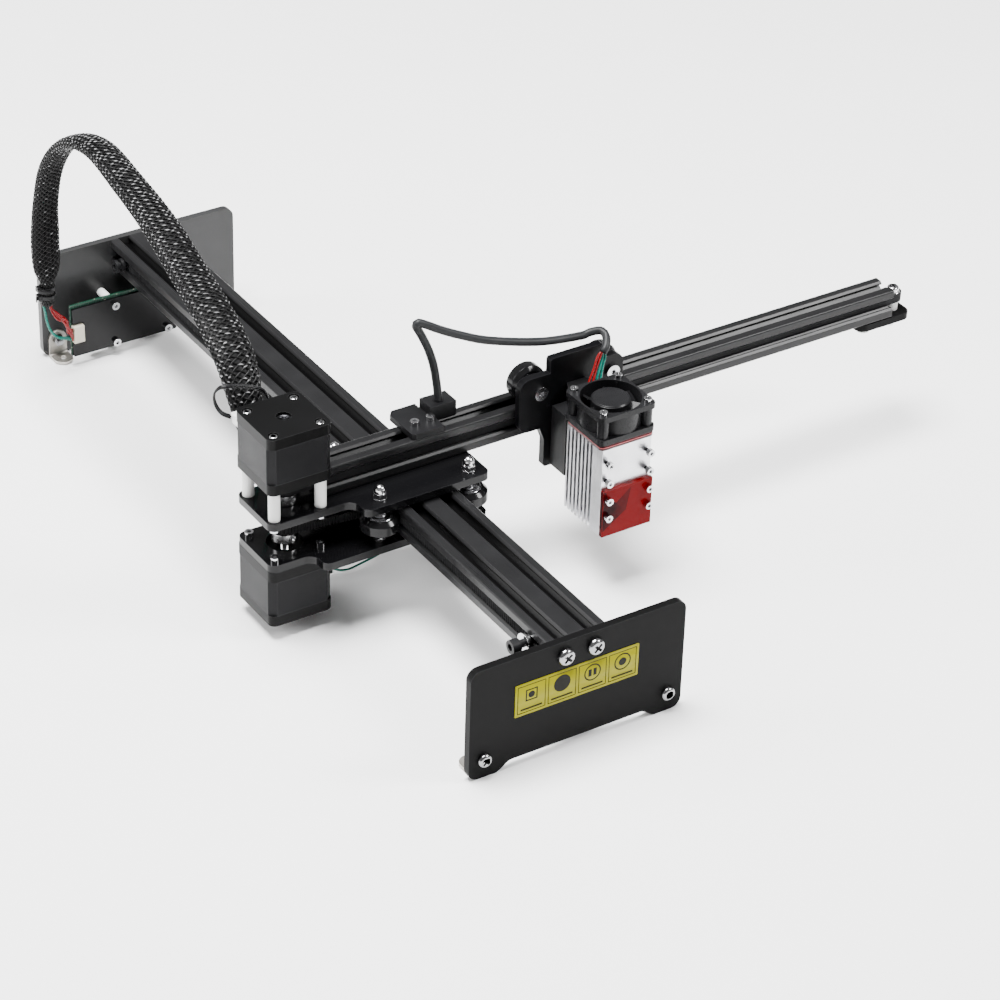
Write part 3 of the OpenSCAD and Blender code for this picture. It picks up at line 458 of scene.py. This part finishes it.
# ---------------------------------------------------------------- CAD nodes that stay
def dress(node, default, *rules, bevel=0.25, angle=28):
    """Material for a CAD node. Rules are (test on a face's centre and its loose piece's box, material)."""
    ob = NODES[node]
    me = ob.data
    me.materials.clear()
    me.materials.append(M[default].m)
    for _, name in rules:
        me.materials.append(M[name].m)
    if rules:
        islands = loose_boxes(me)
        for p in me.polygons:
            c = p.center / MM
            index = 0
            for k, (test, _) in enumerate(rules):
                if test(c, islands[p.index]):
                    index = k + 1
                    break
            p.material_index = index
    else:
        for p in me.polygons:
            p.material_index = 0
    w = ob.modifiers.new("weld", "WELD")
    w.merge_threshold = 0.000002
    if bevel:
        d = ob.modifiers.new("flat", "DECIMATE")
        d.decimate_type = "DISSOLVE"
        d.angle_limit = math.radians(0.4)
        d.delimit = {"MATERIAL"}
        b = ob.modifiers.new("bevel", "BEVEL")
        b.width = bevel * MM
        b.segments = 2
        b.limit_method = "ANGLE"
        b.angle_limit = math.radians(angle)
        b.use_clamp_overlap = True
        wn = ob.modifiers.new("normals", "WEIGHTED_NORMAL")
        wn.weight = 80
        wn.keep_sharp = True
    for p in me.polygons:
        p.use_smooth = True
    if not bevel:
        s = me.attributes.get("sharp_edge")
        if s is None:
            try:
                me.set_sharp_from_angle(angle=math.radians(angle))
            except Exception:
                pass
    return ob


def loose_boxes(me):
    """For each polygon, (low corner, high corner) in mm of the loose piece that it is part of."""
    n = len(me.vertices)
    co = np.zeros(n * 3)
    me.vertices.foreach_get("co", co)
    co = co.reshape(-1, 3)
    key = {}
    rep = np.zeros(n, int)
    for i, c in enumerate(np.round(co, 6)):
        rep[i] = key.setdefault(tuple(c), i)
    parent = list(range(n))

    def find(a):
        while parent[a] != a:
            parent[a] = parent[parent[a]]
            a = parent[a]
        return a

    for p in me.polygons:
        vs = [find(rep[v]) for v in p.vertices]
        for v in vs[1:]:
            a, b = find(vs[0]), find(v)
            if a != b:
                parent[b] = a
    groups = {}
    for i in range(n):
        r = find(rep[i])
        g = groups.setdefault(r, [co[i].copy(), co[i].copy()])
        g[0] = np.minimum(g[0], co[i])
        g[1] = np.maximum(g[1], co[i])
    return [(groups[find(rep[p.vertices[0]])][0] / MM, groups[find(rep[p.vertices[0]])][1] / MM) for p in me.polygons]


dress("base_rail", "rail_y", bevel=0.3)
dress("arm_rail", "rail_x", bevel=0.3)
dress("front_plate", "plate", bevel=0.4)
dress("rear_plate", "rear", bevel=0.4)
dress("rail_end_screws", "screw", bevel=0.12)
dress("foot_brackets", "nickel", bevel=0.3)
dress("foot_fasteners", "screw", bevel=0.12)
dress("front_label", "label", bevel=0)
dress("control_board", "board", bevel=0.1)
dress("board_cover", "acrylic", bevel=0.3)
dress("board_components", "chip", (lambda c, b: b[0][0] < -51 and b[1][1] < 248, "cream"), bevel=0.15)
dress("board_standoffs", "nylon", bevel=0.15)
dress("board_screws", "bright", bevel=0.12)
# the rear fixings (y > 0) all stay black: painted shade, in place of the bright steel the matching front pieces get
dress("y_belt_fixings", "black", (lambda c, b: c[1] < 0 and b[1][0] - b[0][0] < 2.1 and b[1][1] - b[0][1] > 8, "bright"), bevel=0.12)
dress("top_plate", "acrylic", bevel=0.35)
dress("bottom_plate", "acrylic", bevel=0.35)
dress("arm_fixings", "dark_steel", (lambda c, b: b[1][2] > 106, "bright"), bevel=0.12)
dress("wheel_axles", "steel", bevel=0.15)
dress("wheel_spacers", "alu_turned", bevel=0.12)
dress("wheel_bearings", "bearing", bevel=0)
dress("acorn_nuts", "bright", bevel=0.12)
dress("motor_standoffs", "nylon", bevel=0.15)
dress("motor_fixings", "bright", bevel=0.1)
dress("motor_bodies", "stack", bevel=0.2)
dress("motor_caps", "cap", bevel=0.35)
# bearings get the black oxide colour as painted shade, so the motor's shaft hole reads dark
dress("motor_bearings", "dark_steel", bevel=0)
dress("idler_bracket", "plate", bevel=0.3)
dress("idler_fixings", "bright", (lambda c, b: b[1][2] - b[0][2] > 6.2 and b[1][2] < 90, "nylon"),
      (lambda c, b: b[0][2] < 75 and b[1][2] < 86, "dark_steel"), bevel=0.12)
dress("cable_clamp", "black", bevel=0.35)
# shaft end above z 99 gets the black oxide colour as painted shade inside the motor's hole; the rest is plain steel
dress("x_rotor", "dark_steel", (lambda c, b: c[2] < 99, "steel"), bevel=0)
dress("y_rotor", "steel", bevel=0)
dress("x_pulley", "alu_turned", bevel=0.1)
dress("y_pulley", "alu_turned", bevel=0.1)
dress("idler_pulley", "alu_turned", bevel=0)
for k in "1234":
    dress("y_wheel_" + k, "wheel", bevel=0.25)
for k in "123":
    dress("x_wheel_" + k, "wheel", bevel=0.25)
dress("x_carriage_plate", "carriage", bevel=0.35)
dress("height_guide", "guide", bevel=0.25)
dress("x_axle_parts", "steel", bevel=0.12)
dress("slide_block", "black", bevel=0.4)
dress("lock_knob", "black", bevel=0.15)
dress("heatsink", "alu", bevel=0.15)
dress("gasket_plate", "gasket", bevel=0)
dress("red_shield", "red", bevel=0.25)
# shanks between the heads and the heatsink get the black oxide colour: painted shade under the heads
dress("laser_screws", "bright", (lambda c, b: b[1][1] < -138 and b[1][2] < 100 and -148.6 < c[1] < -140, "dark_steel"), bevel=0.1)
dress("diode_module", "brass", (lambda c, b: b[1][2] - b[0][2] < 5, "lens"), bevel=0.12)
dress("fan_frame", "fan", bevel=0.25)
dress("fan_rotor", "fan", bevel=0.15)


# ---------------------------------------------------------------- new pieces
def new_object(name, verts, faces, mats, smooth=True, index=None):
    me = bpy.data.meshes.new(name)
    me.from_pydata([tuple(v) for v in verts], [], [tuple(f) for f in faces])
    me.validate()
    me.update()
    for m in mats if isinstance(mats, (list, tuple)) else [mats]:
        me.materials.append(M[m].m)
    if index is not None:
        me.polygons.foreach_set("material_index", index)
    me.polygons.foreach_set("use_smooth", [smooth] * len(me.polygons))
    ob = bpy.data.objects.new(name, me)
    bpy.context.scene.collection.objects.link(ob)
    return ob


def smooth_path(points, step):
    """Evenly spaced points on a Catmull-Rom curve through points (in metres), step apart."""
    p = np.array(points, float)
    q = np.vstack([2 * p[0] - p[1], p, 2 * p[-1] - p[-2]])
    out = []
    for i in range(1, len(q) - 2):
        for t in np.linspace(0, 1, 24, endpoint=False):
            a, b, c, d = q[i - 1], q[i], q[i + 1], q[i + 2]
            out.append(0.5 * (2 * b + (c - a) * t + (2 * a - 5 * b + 4 * c - d) * t * t + (3 * b - a - 3 * c + d) * t ** 3))
    out.append(p[-1])
    out = np.array(out)
    s = np.concatenate([[0], np.cumsum(np.linalg.norm(np.diff(out, axis=0), axis=1))])
    n = max(2, int(round(s[-1] / step)))
    t = np.linspace(0, s[-1], n + 1)
    return np.stack([np.interp(t, s, out[:, k]) for k in range(out.shape[1])], 1), t


def frames(path, up):
    """Tangent, side and lift vectors along a path, side staying close to cross(tangent, up)."""
    d = np.gradient(path, axis=0)
    d /= np.linalg.norm(d, axis=1)[:, None]
    s = np.cross(d, np.array(up, float)[None, :])
    s /= np.linalg.norm(s, axis=1)[:, None]
    u = np.cross(s, d)
    return d, s, u


def tube(name, points, radius, mat, step=0.0015, sides=14, up=(0.05, 0.1, 1), squash=1.0, radii=None):
    """A round tube through points in mm, closed at both ends."""
    path, t = smooth_path(np.array(points, float) * MM, step)
    d, s, u = frames(path, up)
    verts, faces = [], []
    n = len(path)
    for i in range(n):
        r = radius if radii is None else float(np.interp(t[i] / t[-1], np.linspace(0, 1, len(radii)), radii))
        end = min(t[i], t[-1] - t[i]) / (r * MM)
        k = 1.0 if end > 0.25 else 0.82 + 0.18 * (end / 0.25)
        for j in range(sides):
            a = 2 * math.pi * j / sides
            verts.append(path[i] + (s[i] * math.cos(a) + u[i] * math.sin(a) * squash) * r * MM * k)
    for i in range(n - 1):
        for j in range(sides):
            a, b = i * sides + j, i * sides + (j + 1) % sides
            faces.append((a, b, b + sides, a + sides))
    faces.append(tuple(range(sides))[::-1])
    faces.append(tuple((n - 1) * sides + j for j in range(sides)))
    ob = new_object(name, verts, faces, mat)
    fix_normals(ob)
    return ob


def fix_normals(ob):
    bm = bmesh.new()
    bm.from_mesh(ob.data)
    bmesh.ops.recalc_face_normals(bm, faces=bm.faces)
    bm.to_mesh(ob.data)
    bm.free()
    ob.data.update()


# braided sleeve: route, half width along X and half thickness, as the CAD solid has them
SLEEVE = [(-75, 249.5, 50.2), (-75, 249.3, 54), (-75, 248.8, 66), (-75, 248, 78), (-76, 246, 100), (-77, 240, 132),
    (-77.5, 226, 165), (-76.5, 200, 192), (-75, 165, 203), (-74.5, 125, 196.5), (-74.5, 85, 187), (-76, 45, 173.5),
    (-79, 8, 163), (-81, -18, 150), (-82.5, -33, 132), (-82, -38, 112)]
SLEEVE_W = [4.4, 4.3, 4.3, 9, 10, 8.8, 8.7, 9, 10, 11, 12, 12.5, 13, 13, 11.5, 8]
SLEEVE_H = [4.3, 4.3, 4.3, 4.5, 4.5, 4.5, 4.5, 4, 4, 4, 4, 4, 4, 4, 4, 3.6]


def sleeve():
    pts = [(*p, w, h) for p, w, h in zip(SLEEVE, SLEEVE_W, SLEEVE_H)]
    full, t = smooth_path(np.array(pts, float) * MM, 0.0008)
    path, wid, hei = full[:, :3], full[:, 3], full[:, 4]
    d, s, u = frames(path, (1, 0.05, 0.02))
    # s is the thin direction, u runs along X

    def at(i, ang, lift):
        # flat-sided oval: the wires lie side by side inside, so the top is nearly flat
        c, sn = math.cos(ang), math.sin(ang)
        flat = abs(c) ** 0.72 * (1 if c > 0 else -1)
        wide = abs(sn) ** 0.86 * (1 if sn > 0 else -1)
        return path[i] + s[i] * (hei[i] * 0.94 + lift) * flat + u[i] * (wid[i] * 0.97 + lift) * wide

    n, sides = len(path), 56
    verts, faces = [], []
    for i in range(n):
        for j in range(sides):
            a = 2 * math.pi * j / sides
            verts.append(at(i, a, -0.0007 + 0.0003 * math.cos(a * 12)))
    for i in range(n - 1):
        for j in range(sides):
            a, b = i * sides + j, i * sides + (j + 1) % sides
            faces.append((a, b, b + sides, a + sides))
    faces.append(tuple(range(sides))[::-1])
    faces.append(tuple((n - 1) * sides + j for j in range(sides)))
    core = new_object("sleeve_core", verts, faces, "bundle")
    fix_normals(core)

    verts, faces, glint_index = [], [], []
    strands = 14
    turn = 2 * math.pi / 0.056          # radians per metre
    half = 0.00066
    for way in (1, -1):
        for k in range(strands):
            first = len(verts)
            a0 = 2 * math.pi * k / strands
            over = []
            for i in range(n):
                ang = a0 + way * turn * t[i]
                # the two families cross where this phase is a whole number; every second one passes over
                up_down = way * math.cos(strands * turn * t[i])
                over.append(up_down)
                lift = 0.00018 * up_down
                peri = (hei[i] + wid[i]) * 0.5
                da = half / peri
                verts += [at(i, ang - da, lift), at(i, ang, lift + 0.00022), at(i, ang + da, lift),
                          at(i, ang + da * 0.9, lift - 0.0002), at(i, ang - da * 0.9, lift - 0.0002)]
            for i in range(n - 1):
                b = first + i * 5
                # painted glint: a pale patch on the top faces of a strand where it passes over the other family
                painted_glint = over[i] + over[i + 1] > 1.35 and random.random() < (0.8 if way > 0 else 0.2)
                for j in range(5):
                    faces.append((b + j, b + (j + 1) % 5, b + 5 + (j + 1) % 5, b + 5 + j))
                    glint_index.append(1 if painted_glint and j in (0, 1) else 0)
            faces.append(tuple(first + j for j in range(5))[::-1])
            faces.append(tuple(first + (n - 1) * 5 + j for j in range(5)))
            glint_index += [0, 0]
    braid = new_object("sleeve_braid", verts, faces, ["strand", "glint"], index=glint_index)
    fix_normals(braid)
    for ob in (core, braid):
        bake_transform(ob)
    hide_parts("cable_sleeve")
    return core, braid


sleeve()


# cable ties with their heads and cut tails
def cable_tie(name, z, y, tail):
    verts, faces = [], []
    sides, r0, r1, h = 40, 4.55, 5.35, 1.25
    for ring in range(2):
        zz = z + (h if ring else -h)
        for r in (r0, r1):
            for j in range(sides):
                a = 2 * math.pi * j / sides
                verts.append(((-75 + r * math.cos(a)) * MM, (y + r * math.sin(a)) * MM, zz * MM))
    s = sides
    for j in range(s):
        k = (j + 1) % s
        faces += [(s + j, s + k, 3 * s + k, 3 * s + j), (j, 2 * s + j, 2 * s + k, k), (2 * s + j, 3 * s + j, 3 * s + k, 2 * s + k), (j, k, s + k, s + j)]
    ob = new_object(name, verts, faces, "tie")
    bm = bmesh.new()
    bm.from_mesh(ob.data)
    box = bmesh.ops.create_cube(bm, size=1.0)
    hx = -75 - 6.1
    for v in box["verts"]:
        v.co = Vector(((hx + v.co.x * 2.6) * MM, (y + v.co.y * 4.6) * MM, (z + v.co.z * 3.6) * MM))
    # tail: a tapering strap that leaves the head
    path, _ = smooth_path(np.array(tail, float) * MM, 0.001)
    d, sd, u = frames(path, (0, 0.1, 1))
    prev = None
    for i in range(len(path)):
        w = 1.15 * (1 - 0.25 * i / len(path)) * MM
        q = [bm.verts.new(path[i] + u[i] * a * w + sd[i] * b * 0.00045) for a, b in ((-1, -1), (1, -1), (1, 1), (-1, 1))]
        if prev:
            for j in range(4):
                bm.faces.new((prev[j], prev[(j + 1) % 4], q[(j + 1) % 4], q[j]))
        else:
            bm.faces.new(q[::-1])
        prev = q
    bm.faces.new(prev)
    bmesh.ops.recalc_face_normals(bm, faces=bm.faces)
    bm.to_mesh(ob.data)
    bm.free()
    for p in ob.data.polygons:
        p.use_smooth = False
    b = ob.modifiers.new("bevel", "BEVEL")
    b.width = 0.0002
    b.segments = 2
    b.limit_method = "ANGLE"
    b.angle_limit = math.radians(35)
    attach(ob, "base")
    return ob


tie_a = cable_tie("cable_tie_lower", 56.8, 249.1, [(-81.5, 249.1, 56.8), (-83.5, 247.5, 56.6), (-84.5, 245.5, 56.2)])
tie_b = cable_tie("cable_tie_upper", 62.8, 249.0, [(-81.5, 249.0, 62.8), (-82.6, 246, 62.9), (-79.5, 243, 62.6), (-74.5, 242.4, 62.2)])
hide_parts("cable_ties")


# wires from the sleeve to the board's connector, one by one
def wire_fan(name, starts, ends, mid, radius, mat, body):
    obs = []
    for k, (a, b) in enumerate(zip(starts, ends)):
        pts = [a]
        for m in mid:
            w = m[3] if len(m) > 3 else 1.0
            pts.append((m[0] + random.uniform(-w, w), m[1] + random.uniform(-w, w) * 0.7, m[2] + random.uniform(-w, w)))
        pts.append(b)
        ob = tube(f"{name}_{k + 1}", pts, radius, mat, step=0.0012, sides=10, up=(1, 0.3, 0.1))
        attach(ob, body)
        obs.append(ob)
    return obs


reds = wire_fan(
    "red_wire",
    [(-73.3 + dx, 248.9 + dy, 50.6) for dx, dy in ((-1, -0.8), (0, 0.9), (1.1, -0.5), (0.2, -1.2), (1, 0.9), (-0.6, 0.4), (0.6, 0), (-0.2, -0.4))],
    [(-60.4 + 0.3 * (k % 2), 243.9 + 0.5 * (k % 2), 20.4 + 1.15 * k) for k in range(8)],
    [(-73, 248.3, 46.4, 0.7), (-70, 245, 41.4, 1.6), (-66.4, 242.8, 36, 2.0), (-63.4, 242.8, 29.5, 1.5)],
    0.66, "red_wire", "base")
teals = wire_fan(
    "teal_wire",
    [(-78.2, 249.6, 50.8), (-77.0, 250.2, 50.8)],
    [(-61.3, 244.1, 21.6), (-61.5, 244.0, 23.4)],
    [(-77.3, 249.2, 44, 0.3), (-76.4, 247.8, 37, 0.4), (-74.6, 246, 30.5, 0.4), (-70.5, 244.8, 25.6, 0.4)],
    0.85, "teal_wire", "base")
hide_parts("board_wires")


# motor leads
loop = [(-79.5, -44.4, 113), (-76, -46, 124), (-74.6, -46.8, 134), (-77.5, -46.2, 141), (-84, -45.2, 144.6),
    (-91.2, -44, 147), (-98.8, -43, 148.6), (-103.6, -41, 147.8), (-105.9, -39.4, 143.4), (-105.5, -39.8, 137),
    (-103.2, -42.5, 131.8), (-98.5, -45.7, 129)]
for k in range(4):
    o = (k - 1.5) * 0.75
    pts = [(x + o * 0.4, y + (k % 2) * 0.5, z + o * 0.6) for x, y, z in loop]
    ob = tube(f"upper_motor_lead_{k + 1}", pts, 0.5, "black_wire", sides=10, up=(0.1, 0.9, 0.3))
    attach(ob, "y_carriage")
run = [(-55.6, -86, 33), (-51, -89, 30.5), (-44.6, -90, 29.7), (-36, -90, 31), (-26, -90, 33), (-14, -89, 36), (-6, -84, 40),
       (-6, -74, 43), (-16, -64, 44), (-32, -57, 43.5), (-46, -49, 43.5), (-56, -41, 45), (-61, -37.6, 54), (-68, -37.8, 72),
       (-76, -38, 92), (-81, -38.3, 110)]
for k in range(4):
    o = (k - 1.5) * 0.8
    pts = [(x + o * 0.35 * (1 if i > 2 else 0.2), y - o * 0.5, z + o * 0.45 - (k % 2) * 0.4) for i, (x, y, z) in enumerate(run)]
    pts[0] = (-56.2, -86 + (k - 1.5) * 1.6, 33)
    ob = tube(f"lower_motor_lead_{k + 1}", pts, 0.5, "teal_wire" if k == 0 else "green_lead", sides=10, up=(0.35, 0.3, 1))
    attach(ob, "y_carriage")


def plug(name, lo, hi, mat, body, long_axis=0, bevel=0.22):
    """A moulded plug housing: body, stepped collar, latch and ribs along its sides."""
    bm = bmesh.new()
    lo, hi = Vector(lo), Vector(hi)
    size = hi - lo

    def part(f0, f1):
        a = Vector([lo[i] + size[i] * f0[i] for i in range(3)]) * MM
        c = Vector([lo[i] + size[i] * f1[i] for i in range(3)]) * MM
        box = bmesh.ops.create_cube(bm, size=1.0)
        for v in box["verts"]:
            v.co = Vector([(a[i] + c[i]) / 2 + v.co[i] * (c[i] - a[i]) for i in range(3)])

    part((0.03, 0.08, 0.05), (0.97, 0.92, 0.74))
    part((0.0, 0.0, 0.7), (1.0, 1.0, 1.0))
    n = 5
    for i in range(n):
        a, b = 0.08 + 0.84 * i / n, 0.08 + 0.84 * (i + 0.45) / n
        f0, f1 = [0.0, 0.0, 0.12], [1.0, 1.0, 0.66]
        f0[long_axis], f1[long_axis] = a, b
        part(f0, f1)
    f0, f1 = [0.0, 0.0, 0.0], [1.0, 1.0, 0.1]
    f0[long_axis], f1[long_axis] = 0.3, 0.7
    part(f0, f1)
    me = bpy.data.meshes.new(name)
    bm.to_mesh(me)
    bm.free()
    me.materials.append(M[mat].m)
    ob = bpy.data.objects.new(name, me)
    bpy.context.scene.collection.objects.link(ob)
    b = ob.modifiers.new("bevel", "BEVEL")
    b.width = bevel * MM
    b.segments = 2
    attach(ob, body)
    return ob


p1 = plug("upper_motor_plug", (-99, -53.8, 125.5), (-84, -45.8, 132.5), "nylon", "y_carriage")
p2 = plug("lower_motor_plug", (-58.8, -91, 29.5), (-55.8, -81, 36.5), "nylon", "y_carriage", 1)
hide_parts("motor_leads")

# grey cable and the fan's leads
CABLE = [(30.5, -66.5, 104), (30.5, -66.5, 113.4), (28.8, -66.8, 126.2), (26, -67.4, 139.4), (21.6, -68, 152),
    (15.7, -69, 164.1), (12.2, -70, 170.2), (12.9, -70.6, 172.9), (17.5, -71.3, 170.8), (28, -72.5, 164.5),
    (41.2, -74, 157.7), (60.4, -76, 149.5), (94, -78.4, 140), (121.5, -80.7, 137), (128.5, -81.5, 138),
    (134.8, -84, 138.6), (135.2, -89, 137.2), (132, -94, 134), (128.5, -96, 131)]
cable = tube("head_cable", CABLE, 2.55, "jacket", step=0.0016, sides=20, up=(0.1, 1, 0.1))
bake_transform(cable)
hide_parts("laser_cable")
LEADS = (("red_wire", 124.9, 114.2, 112.6), ("red_wire", 126.6, 117.2, 116.2), ("teal_wire", 128.6, 120.4, 119.8), ("teal_wire", 130.4, 123.2, 123.2))
for k, (mat, x_top, x_low, x_end) in enumerate(LEADS):
    j = 0.35 * (k % 2)
    pts = [(128.0 + 0.5 * k, -95.6, 131.9), (x_top, -95.9 - j, 129.3 - 0.4 * k), (x_top * 0.62 + x_low * 0.38, -98.2 + j, 122.8),
           (x_top * 0.25 + x_low * 0.75, -99.9 - j, 116.8), (x_low, -101.5, 111), (x_end, -102.1, 106.2)]
    ob = tube(f"fan_lead_{k + 1}", pts, 0.72, mat, step=0.0012, sides=10, up=(0.1, 1, 0.1))
    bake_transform(ob)


# belts: backing strip with moulded teeth on the pulley side
def belt(name, line, closed, z0, z1, tooth_side, body, pitch=0.002):
    """line: 2-D points (m) along the belt's middle; teeth stand on the side given (+1 right of travel)."""
    p = np.array(line, float)
    if closed:
        p = np.vstack([p, p[:1]])
    s = np.concatenate([[0], np.cumsum(np.linalg.norm(np.diff(p, axis=0), axis=1))])
    n = int(round(s[-1] / (pitch / 4)))
    n -= n % 4
    t = np.linspace(0, s[-1], n + 1)
    q = np.stack([np.interp(t, s, p[:, k]) for k in range(2)], 1)
    if closed:
        q = q[:-1]
        dq = np.roll(q, -1, 0) - np.roll(q, 1, 0)
    else:
        dq = np.gradient(q, axis=0)
    dq /= np.linalg.norm(dq, axis=1)[:, None]
    nr = np.stack([dq[:, 1], -dq[:, 0]], 1)      # to the right of travel
    verts, faces = [], []
    m = len(q)
    for i in range(m):
        tooth = 0.00085 if i % 4 in (1, 2) else 0.00015
        inner = q[i] + nr[i] * tooth_side * tooth
        outer = q[i] - nr[i] * tooth_side * 0.0006
        for (x, y) in (inner, outer):
            verts.append((x, y, z0))
            verts.append((x, y, z1))
    last = m if closed else m - 1
    for i in range(last):
        a, b = i * 4, ((i + 1) % m) * 4
        faces += [(a, b, b + 1, a + 1), (a + 2, a + 3, b + 3, b + 2), (a + 1, b + 1, b + 3, a + 3), (a, a + 2, b + 2, b)]
    if not closed:
        faces += [(0, 1, 3, 2), ((m - 1) * 4, (m - 1) * 4 + 2, (m - 1) * 4 + 3, (m - 1) * 4 + 1)]
    ob = new_object(name, verts, faces, "rubber", smooth=False)
    fix_normals(ob)
    if body:
        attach(ob, body)
    return ob


def arc(cx, cy, r, a0, a1, n):
    return [(cx + r * math.cos(math.radians(a0 + (a1 - a0) * i / n)), cy + r * math.sin(math.radians(a0 + (a1 - a0) * i / n))) for i in range(n + 1)]


wx, wy, wr, mx, cy0 = 30.7, 26.5, 12.0, -80.0, -75.0
pr, ir = 12.2 / 2 + 0.3 + 0.6, 4.1 + 0.3 + 0.6
bwr = wr + 0.4 + 0.6
bd = math.hypot(mx + wx, wy)
bt = 180 - math.degrees(math.atan2(wy, -(mx + wx))) + math.degrees(math.asin((bwr + pr) / bd))
omega = arc(-wx, -wy, bwr, 0, bt - 90, 20) + arc(mx, 0, pr, bt + 90, 270 - bt, 40) + arc(-wx, wy, bwr, 90 - bt, 0, 20)
omega = [((x) * MM, (y + cy0) * MM) for x, y in omega]
zb0, zb1 = (65 - 2.95) * MM, (65 + 2.95) * MM
x_run = omega[0][0]
front = belt("y_belt_front", [(x_run, -0.242), (x_run, omega[0][1])], False, zb0, zb1, -1, None)
loop_belt = belt("y_belt_loop", omega, False, zb0, zb1, -1, "y_carriage")
rear = belt("y_belt_rear", [(x_run, omega[-1][1]), (x_run, 0.242)], False, zb0, zb1, -1, None)
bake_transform(front)
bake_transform(rear)
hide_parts("y_belt")
idler_x = 369.0
bphi = math.degrees(math.acos((pr - ir) / (idler_x - mx)))
xl = arc(mx, cy0, pr, bphi, 360 - bphi, 48) + arc(idler_x, cy0, ir, -bphi, bphi, 36)
x_belt = belt("x_belt_loop", [(x * MM, y * MM) for x, y in xl], True, (92 - 3) * MM, (92 + 3) * MM, -1, "y_carriage")
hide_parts("x_belt")


# label: frames and plain symbols standing a hair proud of the yellow panel
def label_marks():
    lo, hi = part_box("front_label")
    y1 = lo.y - 0.00002
    y0 = lo.y + 0.0001
    w, h = hi.x - lo.x, hi.z - lo.z
    cx0 = lo.x
    verts, faces = [], []

    def prism(outer, inner=None):
        """A thin plate with an optional hole; outlines are lists of (x, z) with equal counts."""
        n = len(outer)
        first = len(verts)
        loops = [outer, inner] if inner else [outer]
        for lp in loops:
            for y in (y1, y0):
                for x, z in lp:
                    verts.append((x, y, z))
        def idx(lp, back, i):
            return first + lp * 2 * n + back * n + i % n
        for i in range(n):
            faces.append((idx(0, 0, i), idx(0, 0, i + 1), idx(0, 1, i + 1), idx(0, 1, i)))
            if inner:
                faces.append((idx(1, 0, i + 1), idx(1, 0, i), idx(1, 1, i), idx(1, 1, i + 1)))
                faces.append((idx(0, 0, i + 1), idx(0, 0, i), idx(1, 0, i), idx(1, 0, i + 1)))
                faces.append((idx(0, 1, i), idx(0, 1, i + 1), idx(1, 1, i + 1), idx(1, 1, i)))
        if not inner:
            faces.append(tuple(idx(0, 0, i) for i in range(n))[::-1])
            faces.append(tuple(idx(0, 1, i) for i in range(n)))

    def ring(cx, cz, r, t, n=28):
        o = [(cx + r * math.cos(2 * math.pi * i / n), cz + r * math.sin(2 * math.pi * i / n)) for i in range(n)]
        i_ = [(cx + (r - t) * math.cos(2 * math.pi * i / n), cz + (r - t) * math.sin(2 * math.pi * i / n)) for i in range(n)]
        prism(o, i_)

    def disc(cx, cz, r, n=24):
        prism([(cx + r * math.cos(2 * math.pi * i / n), cz + r * math.sin(2 * math.pi * i / n)) for i in range(n)])

    def box(x0, z0, x1, z1):
        prism([(x0, z0), (x1, z0), (x1, z1), (x0, z1)])

    def frame_box(x0, z0, x1, z1, t):
        prism([(x0, z0), (x1, z0), (x1, z1), (x0, z1)], [(x0 + t, z0 + t), (x1 - t, z0 + t), (x1 - t, z1 - t), (x0 + t, z1 - t)])

    m = 0.0016
    cell = (w - 5 * m) / 4
    for k in range(4):
        x0 = cx0 + m + k * (cell + m)
        x1 = x0 + cell
        z0, z1 = lo.z + m, hi.z - m
        frame_box(x0, z0, x1, z1, 0.0005)
        cx, cz = (x0 + x1) / 2, z1 - 0.0073
        if k == 0:
            r = 0.0056
            o = [(cx + r * math.cos(math.radians(45 + 90 * i)), cz + r * math.sin(math.radians(45 + 90 * i))) for i in range(4)]
            i_ = [(cx + (r - 0.0012) * math.cos(math.radians(45 + 90 * i)), cz + (r - 0.0012) * math.sin(math.radians(45 + 90 * i))) for i in range(4)]
            prism(o, i_)
            disc(cx, cz, 0.0022)
        elif k == 1:
            disc(cx, cz, 0.0056)
        elif k == 2:
            ring(cx, cz, 0.0057, 0.0009)
            box(cx - 0.0028, cz - 0.0024, cx - 0.0006, cz + 0.0024)
            box(cx + 0.0006, cz - 0.0024, cx + 0.0028, cz + 0.0024)
        else:
            ring(cx, cz, 0.0057, 0.0009)
            disc(cx, cz, 0.0026)
        box(x0 + 0.0022, z0 + 0.0018, x1 - 0.0022, z0 + 0.0030)
    ob = new_object("label_symbols", verts, faces, "label_ink", smooth=False)
    fix_normals(ob)
    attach(ob, "base")


label_marks()


# ---------------------------------------------------------------- stage
def stage():
    me = bpy.data.meshes.new("floor")
    s = 6.0
    me.from_pydata([(-s, -s, 0), (s, -s, 0), (s, s, 0), (-s, s, 0)], [], [(0, 1, 2, 3)])
    m = Mat("floor_white", 0.0, 0.55)
    n = m.noise(6, 3)
    m.color(m.ramp(n, [(0.3, (0.93, 0.93, 0.93)), (0.7, (0.95, 0.95, 0.95))]))
    m.b.inputs["Specular IOR Level"].default_value = 0.2
    me.materials.append(m.m)
    ob = bpy.data.objects.new("floor", me)
    bpy.context.scene.collection.objects.link(ob)
    ob.location.z = -0.0003

    w = bpy.data.worlds.new("world")
    bpy.context.scene.world = w
    w.use_nodes = True
    bg = w.node_tree.nodes["Background"]
    bg.inputs["Color"].default_value = (1, 1, 1, 1)
    bg.inputs["Strength"].default_value = 0.36

    def area(name, loc, aim, size, power, size_y=None):
        d = bpy.data.lights.new(name, "AREA")
        d.energy = power
        d.size = size
        if size_y:
            d.shape = "RECTANGLE"
            d.size_y = size_y
        o = bpy.data.objects.new(name, d)
        bpy.context.scene.collection.objects.link(o)
        o.location = loc
        o.rotation_euler = (Vector(aim) - Vector(loc)).to_track_quat("-Z", "Y").to_euler()
        return o

    area("top", (-0.3, 0.1, 2.3), (0.05, 0, 0), 1.15, 225)
    area("left", (-1.7, 0.9, 1.0), (0.0, 0, 0.05), 0.9, 38)
    area("right", (1.38, -1.15, 1.5), (0.2, -0.05, 0.05), 0.6, 48)


stage()
